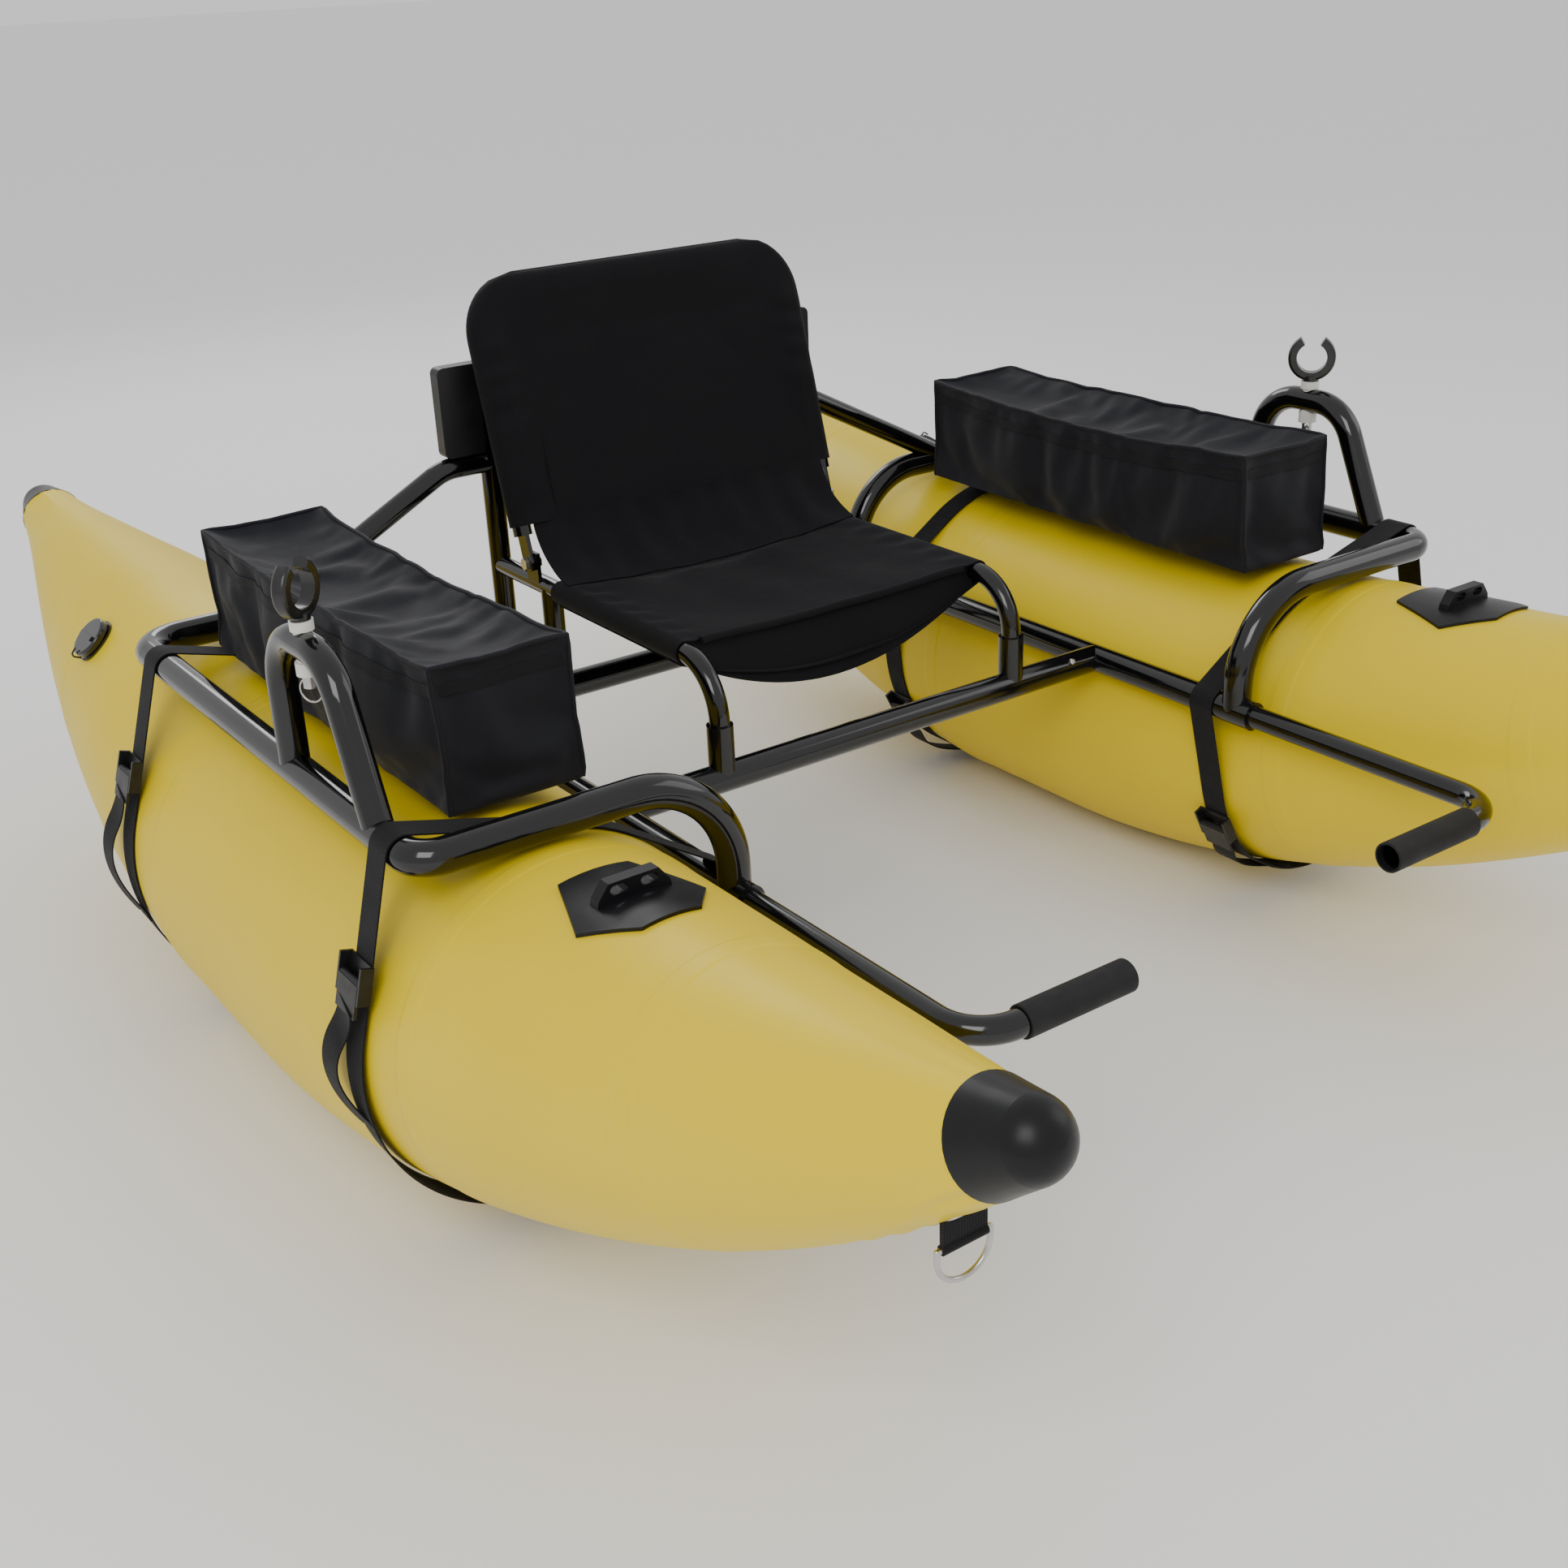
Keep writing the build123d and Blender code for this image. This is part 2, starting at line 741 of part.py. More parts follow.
def bolt_heights():
    lowest = motor_arch_z + motor_tube_radius + 22
    return (lowest, lowest + board_bolt_pitch)


def make_board():
    base = motor_arch_z + motor_tube_radius + rest_gap
    with BuildPart() as board:
        with Locations((0, rear_arch_y, base + board_height / 2)):
            Box(board_width, board_thickness, board_height)
        fillet(board.edges().filter_by(Axis.Y), 8)
        for side in (-1, 1):
            for height in bolt_heights():
                add(rod((side * lug_x, rear_arch_y - 60, height), (side * lug_x, rear_arch_y + 60, height),
                        board_bolt_radius + 0.1), mode=Mode.SUBTRACT)
                with BuildSketch(Plane(origin=(side * lug_x, rear_arch_y + board_thickness / 2, height),
                                       z_dir=(0, -1, 0))):
                    Circle(board_bolt_radius + 3.6)
                extrude(amount=4, mode=Mode.SUBTRACT)
    return board.part


def make_board_bolt(x, z):
    """A flush-headed bolt through the board and its lug, with a nut in front."""
    rear_face = rear_arch_y + board_thickness / 2
    front_face = lug_y() - lug_thickness
    with BuildPart() as bolt:
        add(rod((x, rear_face - 0.8, z), (x, rear_face - 3.9, z), board_bolt_radius + 3))
        add(rod((x, rear_face - 3.9, z), (x, front_face - 9, z), board_bolt_radius))
        with BuildSketch(Plane(origin=(x, front_face - 0.2, z), z_dir=(0, -1, 0))):
            RegularPolygon(5.8, 6)
        extrude(amount=5)
    return bolt.part


def make_pivot_bolt(side):
    inner = back_x - back_tab_thickness / 2 - 0.3 - bracket_thickness
    outer = back_x + back_tab_thickness / 2 + 0.4
    with BuildPart() as bolt:
        add(rod((side * (inner - 6), pivot_y, pivot_z), (side * (outer + 3), pivot_y, pivot_z), pivot_radius))
        with BuildSketch(Plane(origin=(side * outer, pivot_y, pivot_z), z_dir=(side, 0, 0))):
            RegularPolygon(7.5, 6)
        extrude(amount=5)
        with BuildSketch(Plane(origin=(side * (inner - 0.2), pivot_y, pivot_z), z_dir=(-side, 0, 0))):
            RegularPolygon(7.5, 6)
        extrude(amount=5)
    return bolt.part


def back_plane():
    """The seat back's own plane: X across, Y up the back, origin on the pivot line."""
    lean = math.radians(back_lean)
    return Plane(origin=(0, pivot_y, pivot_z), x_dir=(1, 0, 0), z_dir=(0, -math.cos(lean), math.sin(lean)))


def make_back_frame():
    plane = back_plane()
    top = back_height - seat_tube_radius
    with BuildPart() as frame:
        with BuildLine(plane) as path:
            FilletPolyline((-back_x, back_tab_length - 8), (-back_x, top), (back_x, top),
                           (back_x, back_tab_length - 8), radius=back_corner_radius)
        with BuildSketch(Plane(origin=path.line @ 0, z_dir=path.line % 0)):
            Circle(seat_tube_radius)
            Circle(seat_tube_radius - seat_tube_wall, mode=Mode.SUBTRACT)
        sweep()
        for side in (-1, 1):
            tab_plane = Plane(origin=plane.from_local_coords((side * back_x, 0, 0)),
                              x_dir=plane.z_dir, z_dir=(1, 0, 0))
            with BuildSketch(tab_plane.offset(-back_tab_thickness / 2)):
                up = 1 if tab_plane.y_dir.Z > 0 else -1
                with Locations((0, up * back_tab_length / 2)):
                    Rectangle(20, back_tab_length)
                Circle(10)
                Circle(pivot_radius + foot_clearance, mode=Mode.SUBTRACT)
            extrude(amount=back_tab_thickness)
    return frame.part


def make_back_cover():
    """A fabric pocket pulled down over the back frame."""
    plane = back_plane()
    half = seat_tube_radius + cover_width_gap
    outer_half = half + cover_thickness
    bottom = back_tab_length + 2
    top = back_height + cover_width_gap + cover_thickness
    with BuildPart() as cover:
        with BuildSketch(plane.offset(-outer_half)):
            with Locations((0, (top + bottom) / 2)):
                Rectangle(2 * (back_x + outer_half), top - bottom)
            fillet(vertices().sort_by(Axis.Y)[-2:], back_corner_radius + seat_tube_radius)
        extrude(amount=2 * outer_half)
        with BuildSketch(plane.offset(-half)):
            with Locations((0, (top - cover_thickness + bottom) / 2 - 5)):
                Rectangle(2 * (back_x + half), top - cover_thickness - bottom + 10)
            fillet(vertices().sort_by(Axis.Y)[-2:], back_corner_radius + seat_tube_radius)
        extrude(amount=2 * half, mode=Mode.SUBTRACT)
    return cover.part


def make_seat_sling():
    """The seat's top sheet, hemmed round the side tubes."""
    inner = seat_tube_radius + sling_gap
    outer = inner + sling_thickness
    front = front_bar_y + leg_bend + 2
    with BuildPart() as sling:
        with BuildSketch(Plane.XZ.offset(-front)):
            with BuildLine():
                ThreePointArc((-seat_x, seat_z + outer), (0, seat_z + outer - sling_sag), (seat_x, seat_z + outer))
                CenterArc((seat_x, seat_z), outer, 90, -180)
                Line((seat_x, seat_z - outer), (seat_x, seat_z - inner))
                CenterArc((seat_x, seat_z), inner, -90, 180)
                ThreePointArc((seat_x, seat_z + inner), (0, seat_z + inner - sling_sag), (-seat_x, seat_z + inner))
                CenterArc((-seat_x, seat_z), inner, 90, 180)
                Line((-seat_x, seat_z - inner), (-seat_x, seat_z - outer))
                CenterArc((-seat_x, seat_z), outer, -90, -180)
            make_face()
        extrude(amount=-(sling_rear_y - front))
    return sling.part


def make_seat_underlay():
    """The seat cover's lower sheet, which sags below the side tubes."""
    top = seat_z - seat_tube_radius - sling_gap - sling_thickness - 0.3
    half = seat_x + 3
    front = front_bar_y + leg_bend + 2
    with BuildPart() as underlay:
        with BuildSketch(Plane.XZ.offset(-front)):
            with BuildLine():
                ThreePointArc((-half, top), (0, top - underlay_sag), (half, top))
                Line((half, top), (half, top - sling_thickness))
                ThreePointArc((half, top - sling_thickness), (0, top - underlay_sag - sling_thickness),
                              (-half, top - sling_thickness))
                Line((-half, top - sling_thickness), (-half, top))
            make_face()
        extrude(amount=-(sling_rear_y - front))
    return underlay.part


def strap_circles(y, extra):
    """Centres and radii of what a strap goes round at y: the pontoon and both rails."""
    lean = section_radius(y) * abs(math.sin(section_tilt(y)))
    edges = (y - strap_width / 2 - lean, y + strap_width / 2 + lean)
    circles = [(pontoon_x, section_height(e), section_radius(e) + extra) for e in edges]
    circles.append((outer_rail_x, rail_z, rail_radius + extra))
    circles.append((inner_rail_x, inner_rail_z, rail_radius + extra))
    return circles


def strap_outline(side, y, extra, width):
    with BuildPart() as outline:
        with BuildSketch(Plane.XZ.offset(-(y - width / 2))):
            with BuildLine():
                for x, z, radius in strap_circles(y, extra):
                    CenterArc((side * x, z), radius, 0, 360)
            make_hull()
        extrude(amount=-width)
    return outline.part


def make_strap(side, y):
    with BuildPart() as strap:
        add(strap_outline(side, y, rest_gap + strap_thickness, strap_width))
        add(strap_outline(side, y, rest_gap, strap_width + 2), mode=Mode.SUBTRACT)
    return strap.part


def strap_run(y, upper):
    """The outer straight run from pontoon to outer rail: normal angle and both tangent points."""
    extra = rest_gap + strap_thickness
    circles = strap_circles(y, extra)
    x0, z0, r0 = max(circles[:2], key=lambda c: c[1] + c[2] if upper else c[2])
    x1, z1, r1 = circles[2]
    base = math.atan2(z1 - z0, x1 - x0)
    spread = math.acos((r0 - r1) / math.hypot(x1 - x0, z1 - z0))
    angle = base + spread if upper else base - spread
    n = (math.cos(angle), math.sin(angle))
    return angle, (x0 + r0 * n[0], z0 + r0 * n[1]), (x1 + r1 * n[0], z1 + r1 * n[1])


def buckle_plane(side, y):
    """On the outside of a starboard strap, on the inboard face of a port one."""
    if side < 0:
        angle, low, high = strap_run(y, False)
        share = 0.32
        x = low[0] + share * (high[0] - low[0])
        z = low[1] + share * (high[1] - low[1])
    else:
        angle = math.radians(207)
        circle = max(strap_circles(y, rest_gap + strap_thickness)[:2], key=lambda c: c[2])
        x = circle[0] + circle[2] * math.cos(angle)
        z = circle[1] + circle[2] * math.sin(angle)
    normal = (side * math.cos(angle), 0, math.sin(angle))
    return Plane(origin=(side * x, y, z), x_dir=(0, 1, 0), z_dir=normal).offset(rest_gap)


def make_buckle(side, y):
    plane = buckle_plane(side, y)
    with BuildPart() as buckle:
        with BuildSketch(plane):
            Rectangle(buckle_width, buckle_length)
        extrude(amount=buckle_plate)
        with BuildSketch(plane.offset(buckle_plate)):
            for edge in (-1, 1):
                with Locations((edge * (buckle_width - buckle_cheek) / 2, 0)):
                    Rectangle(buckle_cheek, buckle_length)
        extrude(amount=buckle_height - buckle_plate)
        pin = plane.offset(buckle_height - 4)
        with BuildSketch(Plane(origin=pin.from_local_coords((-buckle_width / 2, 0, 0)), z_dir=plane.x_dir)):
            Circle(buckle_pin_radius)
        extrude(amount=buckle_width)
    return buckle.part


def make_lever(side, y):
    """The cam lever, a plate on a barrel that turns on the buckle's pin."""
    plane = buckle_plane(side, y).offset(buckle_height - 4)
    width = buckle_width - 2 * buckle_cheek - 1
    start = plane.from_local_coords((-width / 2, 0, 0))
    down = -1 if plane.y_dir.Z > 0 else 1
    with BuildPart() as lever:
        with BuildSketch(Plane(origin=start, x_dir=plane.y_dir, z_dir=plane.x_dir)):
            Circle(lever_barrel)
        extrude(amount=width)
        with BuildSketch(plane.offset(1.2)):
            with Locations((0, down * lever_length / 2)):
                Rectangle(width, lever_length)
        extrude(amount=lever_thickness)
        with BuildSketch(Plane(origin=start, x_dir=plane.y_dir, z_dir=plane.x_dir)):
            Circle(lever_bore)
        extrude(amount=width, mode=Mode.SUBTRACT)
    return lever.part


def bag_rear_floor():
    """The bag's floor rises to the rear so that it lies on the rear strap."""
    angle, low, high = strap_run(rear_strap_y, True)
    x = bag_x + bag_width / 2
    strap_top = low[1] + (high[1] - low[1]) * (x - low[0]) / (high[0] - low[0])
    strap_edge = rear_strap_y - strap_width / 2
    rise = strap_top + rest_gap - bag_front_floor
    return bag_front_floor + rise * (bag_rear_y - bag_front_y) / (strap_edge - bag_front_y)


def bag_block(side, inset, top):
    with BuildPart() as block:
        with BuildSketch(Plane.YZ.offset(side * bag_x - bag_width / 2 + inset)):
            with BuildLine():
                Polyline((bag_front_y + inset, bag_front_floor + inset),
                         (bag_rear_y - inset, bag_rear_floor() + inset),
                         (bag_rear_y - inset, top), (bag_front_y + inset, top), close=True)
            make_face()
        extrude(amount=bag_width - 2 * inset)
        fillet(block.edges().filter_by(Axis.Z), bag_corner - inset)
    return block.part


def make_bag(side):
    """A zipped storage bag, closed and empty."""
    with BuildPart() as bag:
        add(bag_block(side, 0, bag_top))
        add(bag_block(side, bag_wall, bag_top - bag_wall), mode=Mode.SUBTRACT)
    return bag.part


def make_bow_patch(side):
    """A six-sided rubber pad that follows the skin, with a two-holed tie-down ridge."""
    centre = (side * pontoon_x, patch_y, crown(patch_y))
    half_length = patch_length / 2
    half_width = patch_width / 2
    with BuildPart() as patch:
        with BuildSketch(Plane(origin=(centre[0], centre[1], centre[2] - 60))):
            with BuildLine():
                Polyline((-half_width, -0.25 * half_length), (-0.55 * half_width, half_length),
                         (0.55 * half_width, half_length), (half_width, -0.25 * half_length),
                         (0.45 * half_width, -half_length), (-0.45 * half_width, -half_length), close=True)
            make_face()
        extrude(amount=120)
        add(pontoon_run(side, bow_stations, patch_thickness + rest_gap), mode=Mode.INTERSECT)
        with BuildSketch(Plane(origin=(centre[0], centre[1] - ridge_thickness / 2, centre[2]),
                               x_dir=(1, 0, 0), z_dir=(0, -1, 0)).offset(-ridge_thickness)):
            with BuildLine():
                Polyline((-ridge_length / 2, -14), (ridge_length / 2, -14), (ridge_length / 2 - 4, 6),
                         (ridge_length / 2 - 14, ridge_height + 3), (-ridge_length / 2 + 14, ridge_height + 3),
                         (-ridge_length / 2 + 4, 6), close=True)
            make_face()
            for hole in (-1, 1):
                with Locations((hole * ridge_hole_pitch / 2, 9 + patch_thickness)):
                    SlotOverall(ridge_hole_width, ridge_hole_height, mode=Mode.SUBTRACT)
        extrude(amount=ridge_thickness)
        add(pontoon_run(side, bow_stations, rest_gap), mode=Mode.SUBTRACT)
    return patch.part


def tab_bar_z():
    return section_height(tab_y) - section_radius(tab_y) - tab_drop


def make_tow_tab(side):
    """Folded webbing with the towing ring's bar in its loop."""
    x = side * pontoon_x
    bore = ring_bar_radius + ring_bar_clearance
    with BuildPart() as tab:
        with BuildSketch(Plane.YZ.offset(x - tab_width / 2)):
            with Locations((tab_y, tab_bar_z() + tab_drop / 2 + 10)):
                Rectangle(2 * tab_ply, tab_drop + 20)
            with Locations((tab_y, tab_bar_z())):
                Circle(bore + tab_ply)
                Circle(bore, mode=Mode.SUBTRACT)
        extrude(amount=tab_width)
        add(pontoon_run(side, bow_stations, rest_gap), mode=Mode.SUBTRACT)
    return tab.part


def make_tow_ring(side):
    x = side * pontoon_x
    z = tab_bar_z()
    half = ring_inner_width / 2 + ring_bar_radius
    with BuildPart() as ring:
        with BuildLine(Plane(origin=(x, tab_y, z), x_dir=(1, 0, 0), z_dir=(0, -1, 0))) as path:
            side_drop = tow_ring_height - half
            Line((0, 0), (half, 0))
            Line((half, 0), (half, -side_drop))
            CenterArc((0, -side_drop), half, 0, -180)
            Line((-half, -side_drop), (-half, 0))
            Line((-half, 0), (0, 0))
        with BuildSketch(Plane(origin=(x, tab_y, z), z_dir=(1, 0, 0))):
            Circle(ring_bar_radius)
        sweep(transition=Transition.ROUND)
    return ring.part


def save(name, shape):
    shape.label = name
    export_step(shape, f"parts/{name}.step")


sides = list(side_names.values())
for side_name, side in side_names.items():
    save(f"{side_name}_pontoon", make_pontoon(side))
    save(f"{side_name}_valve_cap", make_valve_cap(side))
    save(f"{side_name}_valve_poppet", make_poppet(side))
    save(f"{side_name}_outer_rail", make_outer_rail(side))
    save(f"{side_name}_inner_rail", make_inner_rail(side))
    save(f"{side_name}_front_arch", make_arch(side, front_arch_y))
    save(f"{side_name}_rear_arch", make_arch(side, rear_arch_y))
    save(f"{side_name}_oarlock_tower", make_tower(side))
    save(f"{side_name}_oarlock", make_oarlock(side))
    save(f"{side_name}_split_ring", make_split_ring(side))
    save(f"{side_name}_footrest", make_footrest(side))
    save(f"{side_name}_foot_grip", make_grip(side))
    save(f"{side_name}_bag", make_bag(side))
    save(f"{side_name}_tow_ring", make_tow_ring(side))
    for end_name, strap_y, bar_y in (("front", front_strap_y, front_bar_y), ("rear", rear_strap_y, rear_bar_y)):
        save(f"{side_name}_{end_name}_strap", make_strap(side, strap_y))
        save(f"{side_name}_{end_name}_cam_lever", make_lever(side, strap_y))
        save(f"{side_name}_{end_name}_snap_button", make_snap_button(side, bar_y))

save("nose_caps", group([make_nose_cap(s, y) for s in sides for y in (bow_skin_end, stern_skin_end)]))
save("valve_bodies", group([make_valve_body(s) for s in sides] + [make_tether(s) for s in sides]))
save("bow_patches", group([make_bow_patch(s) for s in sides]))
save("tow_tabs", group([make_tow_tab(s) for s in sides]))
save("oarlock_bushings", group([sleeve for s in sides for sleeve in make_bushings(s)]))
save("strap_buckles", group([make_buckle(s, y) for s in sides for y in (front_strap_y, rear_strap_y)]))
save("front_cross_bar", make_cross_bar(front_bar_y, True))
save("rear_cross_bar", make_cross_bar(rear_bar_y, False))
save("seat_side_tubes", group([make_seat_side(x) for x in (-seat_x, seat_x)]))
save("seat_rear_legs", group([make_rear_leg(x) for x in (-seat_x, seat_x)]))
save("rear_uprights", group([make_upright(x) for x in (-seat_x, seat_x)]))
save("motor_arch", make_motor_arch())
save("motor_board", make_board())
pivot_bolts = [make_pivot_bolt(s) for s in sides]
board_bolts = [make_board_bolt(s * lug_x, z) for s in sides for z in bolt_heights()]
save("frame_bolts", group(pivot_bolts + board_bolts))
save("seat_back_frame", make_back_frame())
save("seat_back_cover", make_back_cover())
save("seat_sling", make_seat_sling())
save("seat_underlay", make_seat_underlay())
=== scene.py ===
import bpy
import bmesh
import json
import math
from mathutils import Matrix, Vector, noise


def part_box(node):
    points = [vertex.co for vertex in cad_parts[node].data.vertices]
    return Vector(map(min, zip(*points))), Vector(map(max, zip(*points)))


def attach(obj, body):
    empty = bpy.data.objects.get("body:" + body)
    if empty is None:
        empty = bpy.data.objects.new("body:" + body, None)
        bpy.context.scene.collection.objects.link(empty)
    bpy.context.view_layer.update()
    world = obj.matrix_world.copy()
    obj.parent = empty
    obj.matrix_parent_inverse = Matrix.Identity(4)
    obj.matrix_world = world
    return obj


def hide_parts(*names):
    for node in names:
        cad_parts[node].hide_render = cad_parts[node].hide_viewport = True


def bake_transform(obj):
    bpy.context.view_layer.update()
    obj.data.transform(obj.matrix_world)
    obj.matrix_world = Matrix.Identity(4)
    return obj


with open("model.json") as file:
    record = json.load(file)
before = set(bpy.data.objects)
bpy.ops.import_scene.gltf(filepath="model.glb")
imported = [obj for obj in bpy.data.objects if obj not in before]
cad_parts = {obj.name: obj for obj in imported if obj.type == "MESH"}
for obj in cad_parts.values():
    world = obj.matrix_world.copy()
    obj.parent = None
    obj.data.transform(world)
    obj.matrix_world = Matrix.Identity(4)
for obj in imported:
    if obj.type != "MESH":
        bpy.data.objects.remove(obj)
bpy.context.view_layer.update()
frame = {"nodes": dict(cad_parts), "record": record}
bpy.ops.object.select_all(action="DESELECT")
print("frame loaded")

# sizes shared by several pieces, in metres, as the frame has them
boat = {
    "pontoonX": 0.522, "pontoonRadius": 0.192, "bellyStart": -0.112, "bellyEnd": 0.088,
    "skinEnd": 1.005, "bowRise": 0.218, "sternRise": 0.181, "tipRadius": 0.040,
    "railRadius": 0.016, "outerRailX": 0.638, "innerRailZ": 0.287, "innerRailX": 0.3348,
    "frontArchY": -0.435, "rearArchY": 0.250, "restGap": 0.0005,
    "seatX": 0.200, "seatZ": 0.410, "seatTube": 0.011,
    "backX": 0.213, "backHeight": 0.323, "backLean": math.radians(16), "pivotY": 0.150, "pivotZ": 0.437,
}


# ---- the pontoon's own curve ----
def along(y):
    if y < boat["bellyStart"]:
        return (boat["bellyStart"] - y) / (boat["bellyStart"] + boat["skinEnd"])
    return max(0.0, (y - boat["bellyEnd"]) / (boat["skinEnd"] - boat["bellyEnd"]))


def sectionHeight(y):
    if y < boat["bellyStart"]:
        return boat["pontoonRadius"] + boat["bowRise"] * along(y) ** 1.95
    return boat["pontoonRadius"] + boat["sternRise"] * along(y) ** 1.3


def sectionRadius(y):
    tip = boat["tipRadius"]
    grow = boat["pontoonRadius"] - tip
    if y < boat["bellyStart"]:
        return tip + grow * (1 - along(y) ** 2)
    return tip + grow * (1 - min(1.0, along(y)) ** 1.9) ** 1.21


def sectionTilt(y):
    step = 0.001
    low = max(-boat["skinEnd"], y - step)
    high = min(boat["skinEnd"], y + step)
    return math.atan((sectionHeight(high) - sectionHeight(low)) / (high - low)) * along(y)


def skinPoint(side, y, angle, grow=0.0):
    # angle is measured in the section from straight outboard, upwards
    tilt = sectionTilt(y)
    reach = sectionRadius(y) + grow
    across = reach * math.cos(angle)
    up = reach * math.sin(angle)
    return Vector((side * (boat["pontoonX"] + across), y - up * math.sin(tilt),
                   sectionHeight(y) + up * math.cos(tilt)))


# ---- materials ----
def nodeGroup(name, inputs, outputs):
    group = bpy.data.node_groups.new(name, "ShaderNodeTree")
    for label, kind, value in inputs:
        socket = group.interface.new_socket(label, in_out="INPUT", socket_type=kind)
        if value is not None:
            socket.default_value = value
    for label in outputs:
        group.interface.new_socket(label, in_out="OUTPUT", socket_type="NodeSocketFloat")
    start = group.nodes.new("NodeGroupInput")
    end = group.nodes.new("NodeGroupOutput")
    return group, start, end


def mathNode(tree, operation, a, b=None):
    node = tree.nodes.new("ShaderNodeMath")
    node.operation = operation
    for index, value in enumerate((a, b)):
        if value is None:
            continue
        if isinstance(value, (int, float)):
            node.inputs[index].default_value = value
        else:
            tree.links.new(value, node.inputs[index])
    return node.outputs[0]


def makeWeaveGroup():
    group, start, end = nodeGroup("plainWeave", [
        ("Vector", "NodeSocketVector", None), ("Threads", "NodeSocketFloat", 900.0)], ["Height"])
    scaled = group.nodes.new("ShaderNodeVectorMath")
    scaled.operation = "SCALE"
    group.links.new(start.outputs["Vector"], scaled.inputs[0])
    group.links.new(start.outputs["Threads"], scaled.inputs["Scale"])
    split = group.nodes.new("ShaderNodeSeparateXYZ")
    group.links.new(scaled.outputs[0], split.inputs[0])
    turns = [mathNode(group, "MULTIPLY", split.outputs[i], math.tau) for i in range(3)]
    waves = [mathNode(group, "SINE", turn) for turn in turns]
    pairs = [mathNode(group, "MULTIPLY", waves[i], waves[(i + 1) % 3]) for i in range(3)]
    total = mathNode(group, "ADD", mathNode(group, "ADD", pairs[0], pairs[1]), pairs[2])
    group.links.new(mathNode(group, "MULTIPLY", total, 0.33), end.inputs["Height"])
    return group


def makeDriftGroup():
    group, start, end = nodeGroup("toneDrift", [
        ("Vector", "NodeSocketVector", None), ("Size", "NodeSocketFloat", 6.0),
        ("Low", "NodeSocketFloat", 0.3), ("High", "NodeSocketFloat", 0.5)], ["Value", "Cloud"])
    cloud = group.nodes.new("ShaderNodeTexNoise")
    cloud.inputs["Detail"].default_value = 6
    cloud.inputs["Roughness"].default_value = 0.6
    group.links.new(start.outputs["Vector"], cloud.inputs["Vector"])
    group.links.new(start.outputs["Size"], cloud.inputs["Scale"])
    remap = group.nodes.new("ShaderNodeMapRange")
    remap.inputs["From Min"].default_value = 0.3
    remap.inputs["From Max"].default_value = 0.7
    group.links.new(cloud.outputs["Fac"], remap.inputs["Value"])
    group.links.new(start.outputs["Low"], remap.inputs["To Min"])
    group.links.new(start.outputs["High"], remap.inputs["To Max"])
    group.links.new(remap.outputs["Result"], end.inputs["Value"])
    group.links.new(cloud.outputs["Fac"], end.inputs["Cloud"])
    return group


def makeDustGroup():
    group, start, end = nodeGroup("settledDust", [
        ("Vector", "NodeSocketVector", None), ("Amount", "NodeSocketFloat", 0.3)], ["Mask"])
    geometry = group.nodes.new("ShaderNodeNewGeometry")
    split = group.nodes.new("ShaderNodeSeparateXYZ")
    group.links.new(geometry.outputs["Normal"], split.inputs[0])
    upward = group.nodes.new("ShaderNodeMapRange")
    upward.inputs["From Min"].default_value = 0.35
    upward.inputs["From Max"].default_value = 1.0
    group.links.new(split.outputs["Z"], upward.inputs["Value"])
    specks = group.nodes.new("ShaderNodeTexNoise")
    specks.inputs["Scale"].default_value = 70
    specks.inputs["Detail"].default_value = 8
    group.links.new(start.outputs["Vector"], specks.inputs["Vector"])
    fine = group.nodes.new("ShaderNodeMapRange")
    fine.inputs["From Min"].default_value = 0.45
    fine.inputs["From Max"].default_value = 0.75
    group.links.new(specks.outputs["Fac"], fine.inputs["Value"])
    both = mathNode(group, "MULTIPLY", upward.outputs["Result"], fine.outputs["Result"])
    group.links.new(mathNode(group, "MULTIPLY", both, start.outputs["Amount"]), end.inputs["Mask"])
    return group


groups = {"weave": makeWeaveGroup(), "drift": makeDriftGroup(), "dust": makeDustGroup()}

